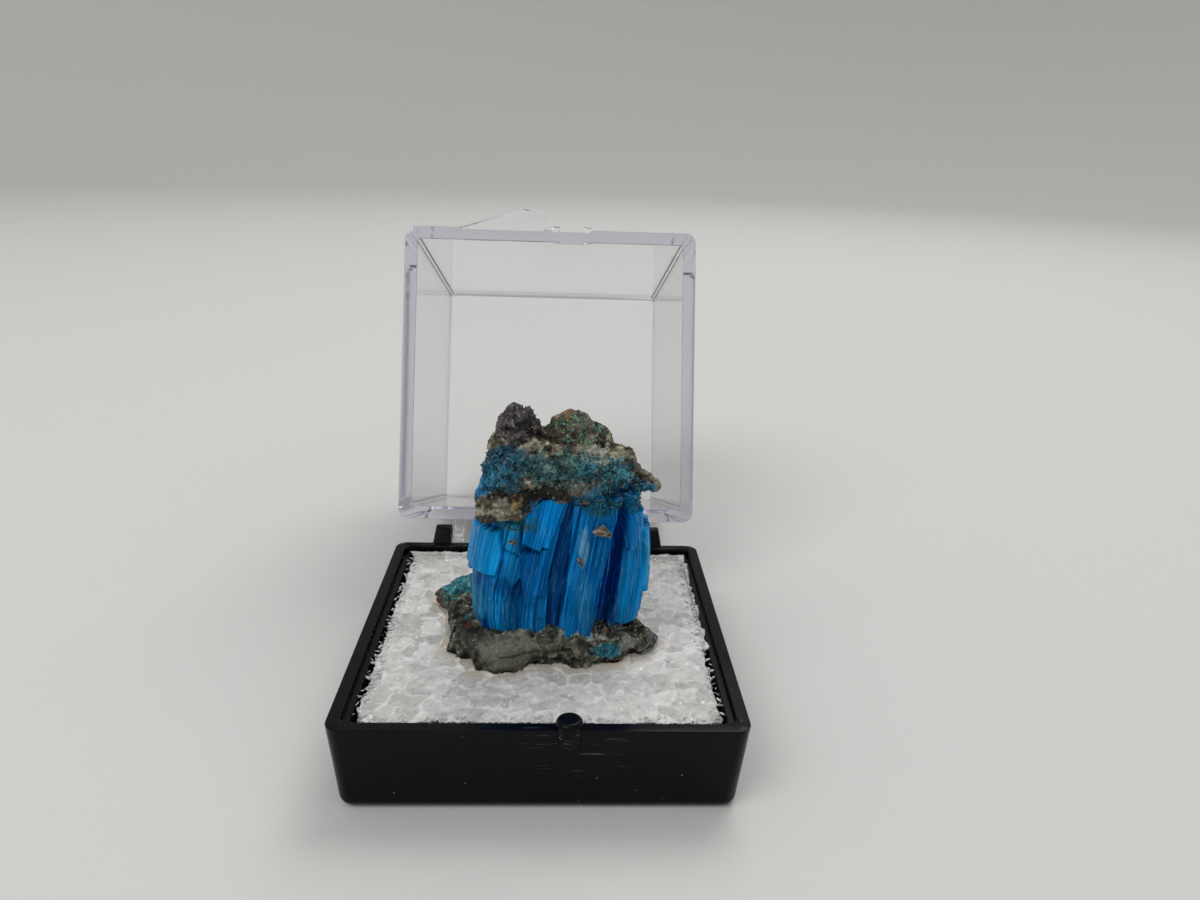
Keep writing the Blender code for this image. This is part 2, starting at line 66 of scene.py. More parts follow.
def feed(tree, node, sockets):
    """Give a node's inputs plain values, or link them to the outputs that feed them. A node given in
    place of an output stands for the first output that it has in use."""
    for name, value in sockets.items():
        if isinstance(value, bpy.types.Node):
            value = next(output for output in value.outputs if output.enabled)
        if isinstance(value, bpy.types.NodeSocket):
            tree.links.new(value, node.inputs[name])
        else:
            node.inputs[name].default_value = value


def finish(name, settings):
    """A new material, its tree and its main shader, with plain values on the shader's sockets."""
    made = bpy.data.materials.new(name)
    made.use_nodes = True
    shader = made.node_tree.nodes["Principled BSDF"]
    feed(made.node_tree, shader, settings)
    return made, made.node_tree, shader


def add_node(tree, kind, sockets, **settings):
    """Add a shader node, set it, and feed its inputs."""
    made = tree.nodes.new("ShaderNode" + kind)
    for name, value in settings.items():
        setattr(made, name, value)
    feed(tree, made, sockets)
    return made


def show(name, shape, skin, crease=None):
    """Turn a mesh that was drawn in millimetres into an object in metres. It is smooth, but for
    the edges that turn by more than the crease."""
    bmesh.ops.scale(shape, vec=(MM, MM, MM), verts=shape.verts)
    mesh = bpy.data.meshes.new(name)
    shape.to_mesh(mesh)
    shape.free()
    mesh.materials.append(skin)
    mesh.shade_smooth()
    if crease is not None:
        mesh.set_sharp_from_angle(angle=math.radians(crease))
    made = bpy.data.objects.new(name, mesh)
    bpy.context.scene.collection.objects.link(made)
    return made


# White paper: fully matt and even, so that only soft shadows show on it.
paper = finish("matt white paper", {"Base Color": linear("#DEDDDA"), "Roughness": 0.9,
                                    "Specular IOR Level": 0.2})[0]
sheet = bmesh.new()
profile = [sheet.verts.new((0.0, 0.0, 0.0)), sheet.verts.new((TABLE_RADIUS, 0.0, 0.0))]
for step in range(1, SWEEP_STEPS + 1):
    turn = math.pi / 2 * step / SWEEP_STEPS
    profile.append(sheet.verts.new((TABLE_RADIUS + SWEEP_RADIUS * math.sin(turn), 0.0,
                                    SWEEP_RADIUS * (1 - math.cos(turn)))))
profile.append(sheet.verts.new((TABLE_RADIUS + SWEEP_RADIUS, 0.0, WALL_TOP)))
for start, end in zip(profile, profile[1:]):
    sheet.edges.new((start, end))
bmesh.ops.spin(sheet, geom=sheet.verts[:] + sheet.edges[:], cent=(0, 0, 0), axis=(0, 0, 1),
               angle=2 * math.pi, steps=SHEET_SIDES, use_merge=True)
bmesh.ops.remove_doubles(sheet, verts=sheet.verts, dist=0.001)
floor = show("floor", sheet, paper)

world = bpy.data.worlds.new("studio air")
world.use_nodes = True
feed(world.node_tree, world.node_tree.nodes["Background"],
     {"Color": linear("#F4F6F8"), "Strength": AIR_LIGHT})
bpy.context.scene.world = world
bpy.context.scene.view_settings.view_transform = "Standard"

for name, place, power in LAMPS:
    lamp = bpy.data.lights.new(name, "AREA")
    lamp.shape = "SQUARE"
    lamp.size = LAMP_SIZE
    lamp.energy = power
    lamp_object = bpy.data.objects.new(name, lamp)
    lamp_object.matrix_world = (Matrix.Translation(place)
                                @ (-Vector(place)).to_track_quat("-Z", "Y").to_matrix().to_4x4())
    bpy.context.scene.collection.objects.link(lamp_object)

# The camera stands where the photograph was taken from, above the front of the tray.
eye = bpy.data.cameras.new("camera")
eye.lens = LENS
eye.sensor_width = SENSOR
eye.clip_start = 1 * MM
camera = bpy.data.objects.new("camera", eye)
camera.matrix_world = (Matrix.Translation(Vector(EYE_PLACE) * MM)
                       @ Matrix.Rotation(math.radians(EYE_YAW), 4, "Z")
                       @ Matrix.Rotation(math.radians(90 + EYE_PITCH), 4, "X")
                       @ Matrix.Rotation(math.radians(EYE_ROLL), 4, "Z"))
bpy.context.scene.collection.objects.link(camera)
bpy.context.scene.camera = camera

# Light turns many times inside the clear lid's walls before it comes out of their edges.
bpy.context.scene.cycles.max_bounces = LIGHT_TURNS
bpy.context.scene.cycles.glossy_bounces = LIGHT_TURNS
bpy.context.scene.cycles.transmission_bounces = LIGHT_TURNS


# The tray: one black polystyrene moulding with a flat rim, a sunk ledge inside it, a round catch
# peg half sunk in the front wall, and two bored knuckles behind for the lid's pins.
TRAY_WIDTH = 32.0
TRAY_FOOT = 30.8
TRAY_HEIGHT = 7.68
RIM_WIDTH = 1.0
LEDGE_DROP = 0.5
LEDGE_WIDTH = 0.6
TRAY_FLOOR = 1.0
CORNER_ROUND = 1.1
LEDGE_CORNER = 0.8
WELL_CORNER = 0.6
FOOT_ROUND = 0.85
RIM_ROUND = 0.09
PEG_X = 2.2
PEG_Y = -15.45
PEG_RADIUS = 1.03
PEG_FOOT = 5.9
PEG_TOP = 8.4
HINGE_Y = 17.46
HINGE_Z = 8.15
KNUCKLE_X = 11.2
KNUCKLE_WIDTH = 1.65
KNUCKLE_RADIUS = 0.9
KNUCKLE_FLARE = 0.35
KNUCKLE_FOOT = (5.0, 6.9)
BORE_RADIUS = 0.5


def round_edges(shape, edges, offset, segments):
    bmesh.ops.bevel(shape, geom=edges, offset=offset, offset_type="OFFSET", affect="EDGES",
                    segments=segments, profile=0.5, material=-1)


def creases(shape, low, high):
    """Edges between two heights where the surface turns by more than 45 degrees."""
    return [edge for edge in shape.edges
            if len(edge.link_faces) == 2 and edge.calc_face_angle() > math.radians(45)
            and all(low <= vert.co.z <= high for vert in edge.verts)]


def uprights(shape, near, far):
    """Standing edges whose corner is between two distances from the middle, along X."""
    return [edge for edge in shape.edges
            if abs(edge.verts[0].co.z - edge.verts[1].co.z) > 0.3
            and all(near <= abs(vert.co.x) <= far for vert in edge.verts)]


def points(made):
    """The vertices among what an operator made."""
    return [item for item in made if isinstance(item, bmesh.types.BMVert)]


def sink(shape, face, inset, drop):
    """Inset a flat face and push the middle down, and hand back the new bottom."""
    bmesh.ops.inset_region(shape, faces=[face], thickness=inset, use_even_offset=True)
    pushed = bmesh.ops.extrude_face_region(shape, geom=[face])["geom"]
    bmesh.ops.delete(shape, geom=[face], context="FACES_ONLY")
    bmesh.ops.translate(shape, vec=(0, 0, -drop), verts=points(pushed))
    return [item for item in pushed if isinstance(item, bmesh.types.BMFace)][0]


def weld(shape, tool, operation):
    """Join a closed shape to another, or cut it out, and hand back the result."""
    parts = []
    for part in (shape, tool):
        bmesh.ops.recalc_face_normals(part, faces=part.faces)
        mesh = bpy.data.meshes.new("part")
        part.to_mesh(mesh)
        part.free()
        parts.append(bpy.data.objects.new("part", mesh))
        bpy.context.scene.collection.objects.link(parts[-1])
    step = parts[0].modifiers.new("weld", "BOOLEAN")
    step.operation = operation
    step.solver = "EXACT"
    step.object = parts[1]
    result = bmesh.new()
    result.from_object(parts[0], bpy.context.evaluated_depsgraph_get())
    for part in parts:
        mesh = part.data
        bpy.data.objects.remove(part)
        bpy.data.meshes.remove(mesh)
    bmesh.ops.remove_doubles(result, verts=result.verts, dist=0.001)
    return result


def on_hinge(x):
    """Place and turn for a round shape about the hinge line."""
    return Matrix.Translation((x, HINGE_Y, HINGE_Z)) @ Matrix.Rotation(math.pi / 2, 4, "Y")


def rod(x_from, x_to, radius, segments):
    """Closed round rod along the hinge line."""
    shape = bmesh.new()
    bmesh.ops.create_cone(shape, cap_ends=True, segments=segments, radius1=radius, radius2=radius,
                          depth=abs(x_to - x_from), matrix=on_hinge((x_from + x_to) / 2))
    return shape


def hinge_ear(x_near, x_far, flare, foot):
    """Rounded ear about the hinge line, run down into a wall, as the hull of its corner points."""
    shape = bmesh.new()
    for x in (x_near, x_far):
        bmesh.ops.create_circle(shape, segments=32, radius=KNUCKLE_RADIUS, matrix=on_hinge(x))
    for x in (x_near, x_far + flare):
        for z in foot:
            shape.verts.new((x, TRAY_WIDTH / 2 - 0.5, z))
    hull = bmesh.ops.convex_hull(shape, input=shape.verts)
    spare = set(points(hull["geom_interior"] + hull["geom_unused"]))
    bmesh.ops.delete(shape, geom=list(spare), context="VERTS")
    bmesh.ops.dissolve_limit(shape, angle_limit=math.radians(2), verts=shape.verts, edges=shape.edges)
    ends = [edge for edge in shape.edges if edge.calc_face_angle() > math.radians(60)
            and abs(edge.verts[0].co.x - edge.verts[1].co.x) < 0.01]
    round_edges(shape, ends, 0.12, 2)
    return shape


tray = bmesh.new()
bmesh.ops.create_cube(tray, size=1.0)
bmesh.ops.scale(tray, vec=(TRAY_WIDTH, TRAY_WIDTH, TRAY_HEIGHT), verts=tray.verts)
bmesh.ops.translate(tray, vec=(0, 0, TRAY_HEIGHT / 2), verts=tray.verts)
bmesh.ops.scale(tray, vec=(TRAY_FOOT / TRAY_WIDTH, TRAY_FOOT / TRAY_WIDTH, 1),
                verts=[vert for vert in tray.verts if vert.co.z < 1])
top = max(tray.faces, key=lambda face: face.calc_center_median().z)
ledge = sink(tray, top, RIM_WIDTH, LEDGE_DROP)
sink(tray, ledge, LEDGE_WIDTH, TRAY_HEIGHT - LEDGE_DROP - TRAY_FLOOR)
bmesh.ops.recalc_face_normals(tray, faces=tray.faces)
round_edges(tray, uprights(tray, 15.2, 16.1), CORNER_ROUND, 7)
round_edges(tray, uprights(tray, 14.9, 15.1), LEDGE_CORNER, 6)
round_edges(tray, uprights(tray, 14.3, 14.5), WELL_CORNER, 5)
round_edges(tray, creases(tray, -1, 0.5), FOOT_ROUND, 6)
round_edges(tray, [edge for edge in creases(tray, 7.0, 8.0) if edge.is_convex], RIM_ROUND, 2)

peg = bmesh.new()
bmesh.ops.create_cone(peg, cap_ends=True, segments=40, radius1=PEG_RADIUS, radius2=PEG_RADIUS,
                      depth=PEG_TOP - PEG_FOOT,
                      matrix=Matrix.Translation((PEG_X, PEG_Y, (PEG_TOP + PEG_FOOT) / 2)))
round_edges(peg, creases(peg, PEG_FOOT - 0.1, PEG_FOOT + 0.1), 0.85 * PEG_RADIUS, 7)
round_edges(peg, creases(peg, PEG_TOP - 0.1, PEG_TOP + 0.1), 0.38 * PEG_RADIUS, 5)
tray = weld(tray, peg, "UNION")
for side in (-1, 1):
    inner_end = side * (KNUCKLE_X - KNUCKLE_WIDTH / 2)
    outer_end = side * (KNUCKLE_X + KNUCKLE_WIDTH / 2)
    tray = weld(tray, hinge_ear(inner_end, outer_end, side * KNUCKLE_FLARE, KNUCKLE_FOOT), "UNION")
    tray = weld(tray, rod(inner_end - side, outer_end + side, BORE_RADIUS, 24), "DIFFERENCE")

# Black polystyrene, moulded in a polished tool: deep gloss with a soft haze, dulled by handling,
# with pale dust and a few hair scratches around the catch, all drawn coarse enough to show.
black, tree, shader = finish("moulded black polystyrene", {"IOR": 1.59, "Specular IOR Level": 0.1})
place = add_node(tree, "TexCoord", {}).outputs["Object"]
haze = add_node(tree, "TexNoise", {
    "Vector": place, "Scale": 1 / (6 * MM), "Detail": 4.0, "Roughness": 0.6})
gloss = add_node(tree, "MapRange", {
    "Value": haze, "From Min": 0.35, "From Max": 0.7, "To Min": 0.17, "To Max": 0.34})
specks = add_node(tree, "TexVoronoi", {"Vector": place, "Scale": 1 / (1.1 * MM)})
speck = add_node(tree, "MapRange", {
    "Value": specks, "From Min": 0.04, "From Max": 0.09, "To Min": 1.0, "To Max": 0.0})
pick = add_node(tree, "SeparateColor", {"Color": specks.outputs["Color"]})
few = add_node(tree, "MapRange", {
    "Value": pick.outputs["Red"], "From Min": 0.5, "From Max": 0.9, "To Min": 0.0, "To Max": 0.7})
dust = add_node(tree, "Math", {0: speck, 1: few}, operation="MULTIPLY")
stretch = add_node(tree, "Mapping", {
    "Vector": place, "Rotation": (0.0, 0.12, 0.0),
    "Scale": (1 / (4 * MM), 1 / (0.4 * MM), 1 / (0.16 * MM))})
hairs = add_node(tree, "TexNoise", {"Vector": stretch, "Scale": 1.0, "Detail": 2.0})
hair = add_node(tree, "MapRange", {
    "Value": hairs, "From Min": 0.63, "From Max": 0.72, "To Min": 0.0, "To Max": 0.6})
spot = add_node(tree, "VectorMath", {0: place, 1: (3.0 * MM, -16.0 * MM, 6.4 * MM)}, operation="DISTANCE")
around = add_node(tree, "MapRange", {
    "Value": spot, "From Min": 1.6 * MM, "From Max": 4.6 * MM, "To Min": 1.0, "To Max": 0.0})
scratch = add_node(tree, "Math", {0: hair, 1: around}, operation="MULTIPLY")
marks = add_node(tree, "Math", {0: dust, 1: scratch}, operation="MAXIMUM")
coloured = add_node(tree, "Mix", {0: marks, 6: linear("#060709"), 7: linear("#7C828A")}, data_type="RGBA")
dull = add_node(tree, "Mix", {0: marks, 2: gloss, 3: 0.7})
ripple = add_node(tree, "Bump", {"Height": haze, "Strength": 0.15, "Distance": 0.05 * MM})
feed(tree, shader, {"Base Color": coloured, "Roughness": dull, "Normal": ripple})

moulded_tray = show("moulded_tray", tray, black, 32)
shading = moulded_tray.modifiers.new("flat faces", "WEIGHTED_NORMAL")
shading.keep_sharp = True
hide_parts("base_tray")
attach(moulded_tray, "base")


# The foam: a block of expanded polystyrene, sawn so that its beads are cut open. Each bead is a
# greyish, many-sided cell with a whiter skin, and the sawn edges are torn into crumbs and flakes.
FOAM_HALF = 14.8
FOAM_STEP = 0.125
FOAM_LOW = 1.3
FOAM_LEVEL = 7.02
FOAM_SIDE = 14.1
SAW_CUT = 14.05
TORN_FROM = 12.5
BEAD = 1.9
LEDGE_TOP = TRAY_HEIGHT - LEDGE_DROP
EDGE_FLAKES = 400
LOOSE_FLAKES = 240
FLAKE_THICKNESS = 0.03
FLAKE_TOP = 7.7
BATCH = 40


def eased(value, low, high):
    """0 below low, 1 above high, and a smooth way between; high may be the smaller."""
    share = min(1.0, max(0.0, (value - low) / (high - low)))
    return share * share * (3 - 2 * share)


def flat_bits(spot, size):
    """Broken surface of flat bits of about one size, each tilted its own way: its height, from
    about -1 to 1, a number from 0 to 1 that goes with the bit, and how near the bit's edge is."""
    near, centres = noise.voronoi(spot / size)
    lean = noise.cell_vector(centres[0] * 5.3) - Vector((0.5, 0.5, 0.5))
    return lean.z + 1.4 * lean.dot(spot / size - centres[0]), lean.x + 0.5, near[1] - near[0]


def torn_edge(x, y):
    """How far the sawn edge reaches on the side that a point of the block's top belongs to."""
    ragged = 0.3 * noise.noise(Vector((x, y, 9)) / 0.9) + 0.14 * noise.noise(Vector((x, y, 3)) / 0.3)
    if abs(x) > abs(y):
        along = 0.45 if x > 0 and y > -4 else -0.1
    else:
        along = 0.6 if y > 0 else 0.05
    return SAW_CUT + along + ragged


def rock_above(x, y):
    """Height of the lower rock's underside over a point, or None beside the rock."""
    hit = rock_seat.ray_cast(Vector((x, y, 0)) * MM, Vector((0, 0, 1)), 20 * MM)[0]
    return None if hit is None else hit.z / MM


def pour(shape, tufts):
    """Add small meshes to a large one."""
    for tuft in tufts:
        mesh = bpy.data.meshes.new("tuft")
        tuft.to_mesh(mesh)
        tuft.free()
        shape.from_mesh(mesh)
        bpy.data.meshes.remove(mesh)


rock_seat = BVHTree.FromObject(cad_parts["lower_matrix"], bpy.context.evaluated_depsgraph_get())
foam = bmesh.new()
cells = round(2 * FOAM_HALF / FOAM_STEP)
bmesh.ops.create_grid(foam, x_segments=cells, y_segments=cells, size=FOAM_HALF)
skin_layer = foam.verts.layers.float.new("skin")
cell_layer = foam.verts.layers.float.new("cell")
rock_shade_layer = foam.verts.layers.float.new("rock_shade")
# The noise vector takes its seed from the clock unless it is given one.
noise.seed_set(4)
for vert in foam.verts:
    x, y = vert.co.x, vert.co.y
    reach = max(abs(x), abs(y))
    if reach > TORN_FROM:
        wanted = TORN_FROM + (reach - TORN_FROM) * (torn_edge(x, y) - TORN_FROM) / (FOAM_HALF - TORN_FROM)
        x *= wanted / reach
        y *= wanted / reach
    spot = Vector((x, y, 4.0))
    bead, cell, border = flat_bits(spot + 0.35 * noise.noise_vector(spot / 0.9), BEAD)
    skin = eased(border, 0.1, 0.02) * eased(noise.noise(Vector((x, y, 7)) / 1.1), -0.35, 0.25)
    crumb = flat_bits(Vector((x, y, 1.0)), 0.5)[0]
    rise = 0.17 * bead + 0.06 * skin + 0.05 * crumb + 0.05 * noise.noise(Vector((x, y, 0)) / 0.22)
    z = FOAM_LEVEL + rise - 0.12 * eased(max(abs(x), abs(y)), 13.6, 14.6)
    if max(abs(x), abs(y)) > 14.25:
        z = max(z, LEDGE_TOP + 0.04)
    rock = rock_above(x, y)
    if rock is not None and rock < z + 0.6:
        z = min(z, rock - 0.08)
    vert.co = Vector((x, y, z))
    vert[skin_layer] = skin
    vert[cell_layer] = cell
    # Painted shade: near the lower rock the foam is painted beige.
    away = rock_seat.find_nearest(vert.co * MM)[3] / MM
    vert[rock_shade_layer] = eased(away + 0.6 * noise.noise(vert.co / 0.8), 1.5, 0.1)
for level in (LEDGE_TOP - 0.15, 4.5, FOAM_LOW):
    border = [edge for edge in foam.edges if edge.is_boundary]
    lowered = bmesh.ops.extrude_edge_only(foam, edges=border)["geom"]
    for vert in points(lowered):
        vert.co = Vector((min(FOAM_SIDE, max(-FOAM_SIDE, vert.co.x)),
                          min(FOAM_SIDE, max(-FOAM_SIDE, vert.co.y)), level))
bmesh.ops.holes_fill(foam, edges=[edge for edge in foam.edges if edge.is_boundary], sides=0)

# Flakes: thin scraps of bead skin that the saw left standing, most of them along the edges. They
# are made one batch to a mesh, because each operator walks the whole mesh that it works on.
chance = random.Random(11)
scraps = []
for count in range(EDGE_FLAKES + LOOSE_FLAKES):
    if count % BATCH == 0:
        scraps.append(bmesh.new())
        skin_layer = scraps[-1].verts.layers.float.new("skin")
        cell_layer = scraps[-1].verts.layers.float.new("cell")
        rock_shade_layer = scraps[-1].verts.layers.float.new("rock_shade")
    if count < EDGE_FLAKES:
        along, out = chance.uniform(-13.9, 13.9), chance.uniform(13.4, 14.3)
        heading = chance.choice((0.0, 0.0, 0.5, 1.0, 1.0, 1.5))
        turned = Matrix.Rotation(heading * math.pi, 4, "Z")
        place = turned @ Vector((out, along, FOAM_LEVEL + chance.uniform(0.0, 0.16)))
        turn = turned @ Matrix.Rotation(chance.gauss(0, 0.7), 4, "Z")
        length, width = chance.uniform(0.25, 0.8), chance.uniform(0.1, 0.32)
    else:
        place = Vector((chance.uniform(-13, 13), chance.uniform(-13, 13), FOAM_LEVEL + 0.05))
        turn = Matrix.Rotation(chance.uniform(0, 2 * math.pi), 4, "Z")
        length, width = chance.uniform(0.2, 0.6), chance.uniform(0.05, 0.15)
    if rock_above(place.x, place.y) is not None:
        continue
    shaped = (Matrix.Translation(place) @ turn @ Matrix.Rotation(chance.gauss(0.1, 0.35), 4, "Y")
              @ Matrix.Rotation(chance.uniform(-1.2, 1.2), 4, "X")
              @ Matrix.Diagonal((length, width, FLAKE_THICKNESS, 1)))
    flake = bmesh.ops.create_icosphere(scraps[-1], subdivisions=1, radius=0.5, matrix=shaped)
    for vert in flake["verts"]:
        vert[skin_layer] = 1.0
        vert[cell_layer] = 0.8
        vert.co.z = min(vert.co.z, FLAKE_TOP)
pour(foam, scraps)

# Expanded polystyrene: white, lets light a little way in, and its cut cells glitter, with a few
# painted glints in its colour. Near the stone it is painted beige as painted shade. The cells are
# drawn coarser than real, so that their glitter shows.
white, tree, shader = finish("expanded polystyrene", {
    "IOR": 1.45, "Specular IOR Level": 0.35, "Subsurface Weight": 0.3,
    "Subsurface Radius": (1.0, 1.0, 1.0), "Subsurface Scale": 0.5 * MM})
place = add_node(tree, "TexCoord", {}).outputs["Object"]
skin = add_node(tree, "Attribute", {}, attribute_name="skin").outputs["Fac"]
cell = add_node(tree, "Attribute", {}, attribute_name="cell").outputs["Fac"]
rock_shade = add_node(tree, "Attribute", {}, attribute_name="rock_shade").outputs["Fac"]
mottle = add_node(tree, "TexNoise", {
    "Vector": place, "Scale": 1 / (0.9 * MM), "Detail": 6.0, "Roughness": 0.75})
greys = add_node(tree, "Math", {0: cell, 1: 0.3, 2: mottle}, operation="MULTIPLY_ADD")
shade = add_node(tree, "MapRange", {
    "Value": greys, "From Min": 0.36, "From Max": 0.92, "To Min": 0.0, "To Max": 1.0})
cut = add_node(tree, "Mix", {0: shade, 6: linear("#ABA9A5"), 7: linear("#EDEBE7")}, data_type="RGBA")
# Painted shade, beige, around the stone.
rock_shaded = add_node(tree, "Mix", {0: rock_shade, 6: cut, 7: linear("#CBC0B1")}, data_type="RGBA")
faint = add_node(tree, "Math", {0: skin, 1: 0.6}, operation="MULTIPLY")
skinned = add_node(tree, "Mix", {0: faint, 6: rock_shaded, 7: linear("#FBFAF8")}, data_type="RGBA")
sparks = add_node(tree, "TexVoronoi", {"Vector": place, "Scale": 1 / (0.2 * MM)})
spark = add_node(tree, "SeparateColor", {"Color": sparks.outputs["Color"]})
# Painted glints: a few cells turn near white in the colour.
lit = add_node(tree, "MapRange", {
    "Value": spark.outputs["Green"], "From Min": 0.984, "From Max": 0.99, "To Min": 0.0, "To Max": 0.9})
sparkling = add_node(tree, "Mix", {0: lit, 6: skinned, 7: linear("#FFF9EE")}, data_type="RGBA")
glint = add_node(tree, "MapRange", {
    "Value": spark.outputs["Green"], "From Min": 0.86, "From Max": 0.9, "To Min": 0.6, "To Max": 0.15})
tilted = add_node(tree, "Bump", {"Height": spark.outputs["Red"], "Strength": 0.45, "Distance": 0.06 * MM})
feed(tree, shader, {"Base Color": sparkling, "Roughness": glint, "Normal": tilted})

bead_foam = show("bead_foam", foam, white)
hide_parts("foam_insert")
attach(bead_foam, "base")


# The lower rock: a flat piece of weathered matrix, pressed into the foam. Its front is a smooth
# grey-green face, its right end is dark and rough, and a lobe at the left back has a blue crust.
LOWER_SQUARE = 0.115
LOWER_SEED = 3.0
LOWER_TONES = ("#1D1C18", "#535347", "#8E8F80")
# Each patch of colour has its centre, its half sizes, its paint and how much of the paint shows.
LOWER_PATCHES = [
    ((-2.6, -7.4, 8.9), (2.9, 1.5, 1.7), "#7B7D6E", 0.88),
    ((-1.2, -7.4, 8.4), (2.6, 1.6, 0.13), "#3F4138", 0.85),
    ((-3.3, -7.4, 9.7), (1.3, 1.6, 0.12), "#55574B", 0.8),
    ((-0.9, -7.2, 7.2), (2.6, 1.6, 0.6), "#64685B", 0.8),
    ((1.6, -6.8, 8.8), (2.3, 1.4, 0.9), "#5C5A4D", 0.7),
    ((-6.4, -5.2, 9.0), (1.5, 2.0, 1.5), "#3C3B36", 0.9),
    ((-5.7, -6.1, 9.7), (0.6, 0.8, 0.45), "#70411F", 0.9),
    ((-6.6, -4.4, 9.9), (0.5, 0.8, 0.4), "#5A3018", 0.8),
    ((2.3, -6.2, 10.6), (1.1, 0.9, 0.7), "#8EA39B", 0.9),
    ((3.9, -6.1, 10.0), (0.5, 0.6, 0.7), "#B4D2D6", 0.8),
    ((6.5, -4.6, 10.3), (2.8, 1.8, 0.9), "#24211E", 0.95),
    ((5.2, -5.8, 10.1), (0.35, 0.6, 0.25), "#7A5034", 0.8),
    ((5.6, -6.1, 8.3), (1.4, 1.2, 0.7), "#2A8098", 0.9),
    ((7.4, -5.2, 8.6), (1.1, 1.0, 0.9), "#8A8D84", 0.85),
    ((9.2, -3.5, 8.3), (1.0, 1.0, 0.8), "#5A5860", 0.8),
    ((8.9, -3.7, 7.2), (0.9, 0.9, 0.4), "#35808A", 0.8),
    ((-8.4, 4.2, 9.0), (2.4, 2.2, 0.6), "#4F9FAE", 0.9),
    ((-9.9, 3.6, 7.6), (1.0, 1.8, 1.1), "#55403A", 0.9),
    ((-7.6, 3.0, 7.8), (1.3, 1.5, 1.1), "#1D3E39", 0.85),
    # Painted shade: this dark patch darkens a gap at the rock's left end.
    ((-8.0, 0.4, 8.2), (1.6, 2.0, 1.2), "#24221D", 0.8),
    ((-6.9, -2.3, 9.6), (1.0, 0.8, 0.35), "#2F7F84", 0.8),
    ((3.0, 5.0, 9.6), (3.2, 1.4, 0.7), "#2F757E", 0.7),
    ((-4.5, 5.6, 8.4), (2.2, 1.2, 0.8), "#6B4226", 0.5),
    ((7.2, 2.2, 8.8), (1.4, 1.8, 0.9), "#77766A", 0.7),
]
LOWER_CALM = [((-2.4, -7.4, 8.6), (3.4, 2.0, 2.0), 0.8), ((7.4, -5.4, 8.4), (1.3, 1.2, 1.0), 0.5)]


def inside(point, centre, halves):
    """Distance from a patch's centre, 1 on its outline."""
    x = (point.x - centre[0]) / halves[0]
    y = (point.y - centre[1]) / halves[1]
    z = (point.z - centre[2]) / halves[2]
    return math.sqrt(x * x + y * y + z * z)


def blend(first, second, share):
    return [a + (b - a) * share for a, b in zip(first, second)]


def mixed(table):
    """A table whose next-to-last column, the paints, is turned to linear colours."""
    return [(*row[:-2], linear(row[-2]), row[-1]) for row in table]


def worn_copy(node, square):
    """A CAD node's solid as one even skin of small squares, fine enough to carry relief."""
    solid = bmesh.new()
    solid.from_mesh(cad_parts[node].data)
    bmesh.ops.remove_doubles(solid, verts=solid.verts, dist=1e-6)
    bmesh.ops.scale(solid, vec=(1 / MM, 1 / MM, 1 / MM), verts=solid.verts)
    holder = bpy.data.objects.new("part", bpy.data.meshes.new("part"))
    solid.to_mesh(holder.data)
    solid.free()
    bpy.context.scene.collection.objects.link(holder)
    remesh = holder.modifiers.new("even", "REMESH")
    remesh.mode = "VOXEL"
    remesh.voxel_size = square
    shape = bmesh.new()
    shape.from_object(holder, bpy.context.evaluated_depsgraph_get())
    bpy.data.objects.remove(holder)
    for step in range(3):
        bmesh.ops.smooth_vert(shape, verts=shape.verts, factor=0.5, use_axis_x=True, use_axis_y=True,
                              use_axis_z=True)
    shape.normal_update()
    return shape


def crag(spot, seed):
    """Broken-stone relief: flat bits of three sizes and a slow swell, and the finest bits' tone."""
    moved = spot + Vector((seed, seed, seed))
    blocks = flat_bits(moved, 1.9)[0]
    knobs, tone, near_edge = flat_bits(moved, 0.85)
    grains, fine_tone = flat_bits(moved, 0.36)[:2]
    relief = 0.2 * blocks + 0.14 * knobs + 0.085 * grains + 0.12 * noise.fractal(moved * 1.3, 0.9, 2.1, 4)
    relief -= 0.06 * eased(near_edge, 0.1, 0.0)
    return relief, 0.5 * tone + 0.5 * fine_tone


def stone_colour(spot, relief, bit, tones, patches):
    """Colour of a point of the rock: mixed tones, painted shade in the hollows, then the named patches.
    """
    dark, middle, light = tones
    drift = 0.5 + 0.5 * noise.fractal(spot * 0.9 + Vector((5, 1, 2)), 0.8, 2.2, 4)
    drift += 0.9 * relief + 0.7 * (bit - 0.5)
    colour = blend(dark, middle, eased(drift, 0.1, 0.5))
    colour = blend(colour, light, eased(drift, 0.5, 1.0))
    fray = 0.42 * noise.noise(spot * 1.6) + 0.34 * noise.noise(spot * 4.0)
    for centre, halves, paint, strength in patches:
        if abs(spot.z - centre[2]) < 1.8 * halves[2]:
            far = inside(spot, centre, halves)
            if far < 1.8:
                colour = blend(colour, paint, strength * eased(far + fray, 1.15, 0.8))
    shadow = 0.28 + 0.95 * eased(relief, -0.2, 0.1)
    grit = 0.45 + 1.0 * bit + 0.22 * noise.cell(spot * 8.0)
    return [c * shadow * grit for c in colour[:3]] + [1.0]


def dress(shape, seed, tones, patches, calm, dents):
    """Raise a rock's relief and colour it. Calm patches stay smoother, and dents are pushed in."""
    tone_layer = shape.verts.layers.float_color.new("tone")
    tones = [linear(tone) for tone in tones]
    patches = mixed(patches)
    for vert in shape.verts:
        relief, bit = crag(vert.co, seed)
        quiet = 1.0
        for centre, halves, share in calm:
            quiet *= 1 - share * eased(inside(vert.co, centre, halves), 1.2, 0.7)
        relief *= quiet
        vert[tone_layer] = stone_colour(vert.co, relief, 0.5 + quiet * (bit - 0.5), tones, patches)
        push = Vector((0, 0, 0))
        for centre, halves, move in dents:
            push += Vector(move) * eased(inside(vert.co, centre, halves), 1.0, 0.1)
        vert.co += vert.normal * relief + push


def skin_spots(shape):
    """Places on a shape's skin with the way each faces."""
    return [(vert.co.copy(), vert.normal.copy()) for vert in shape.verts]


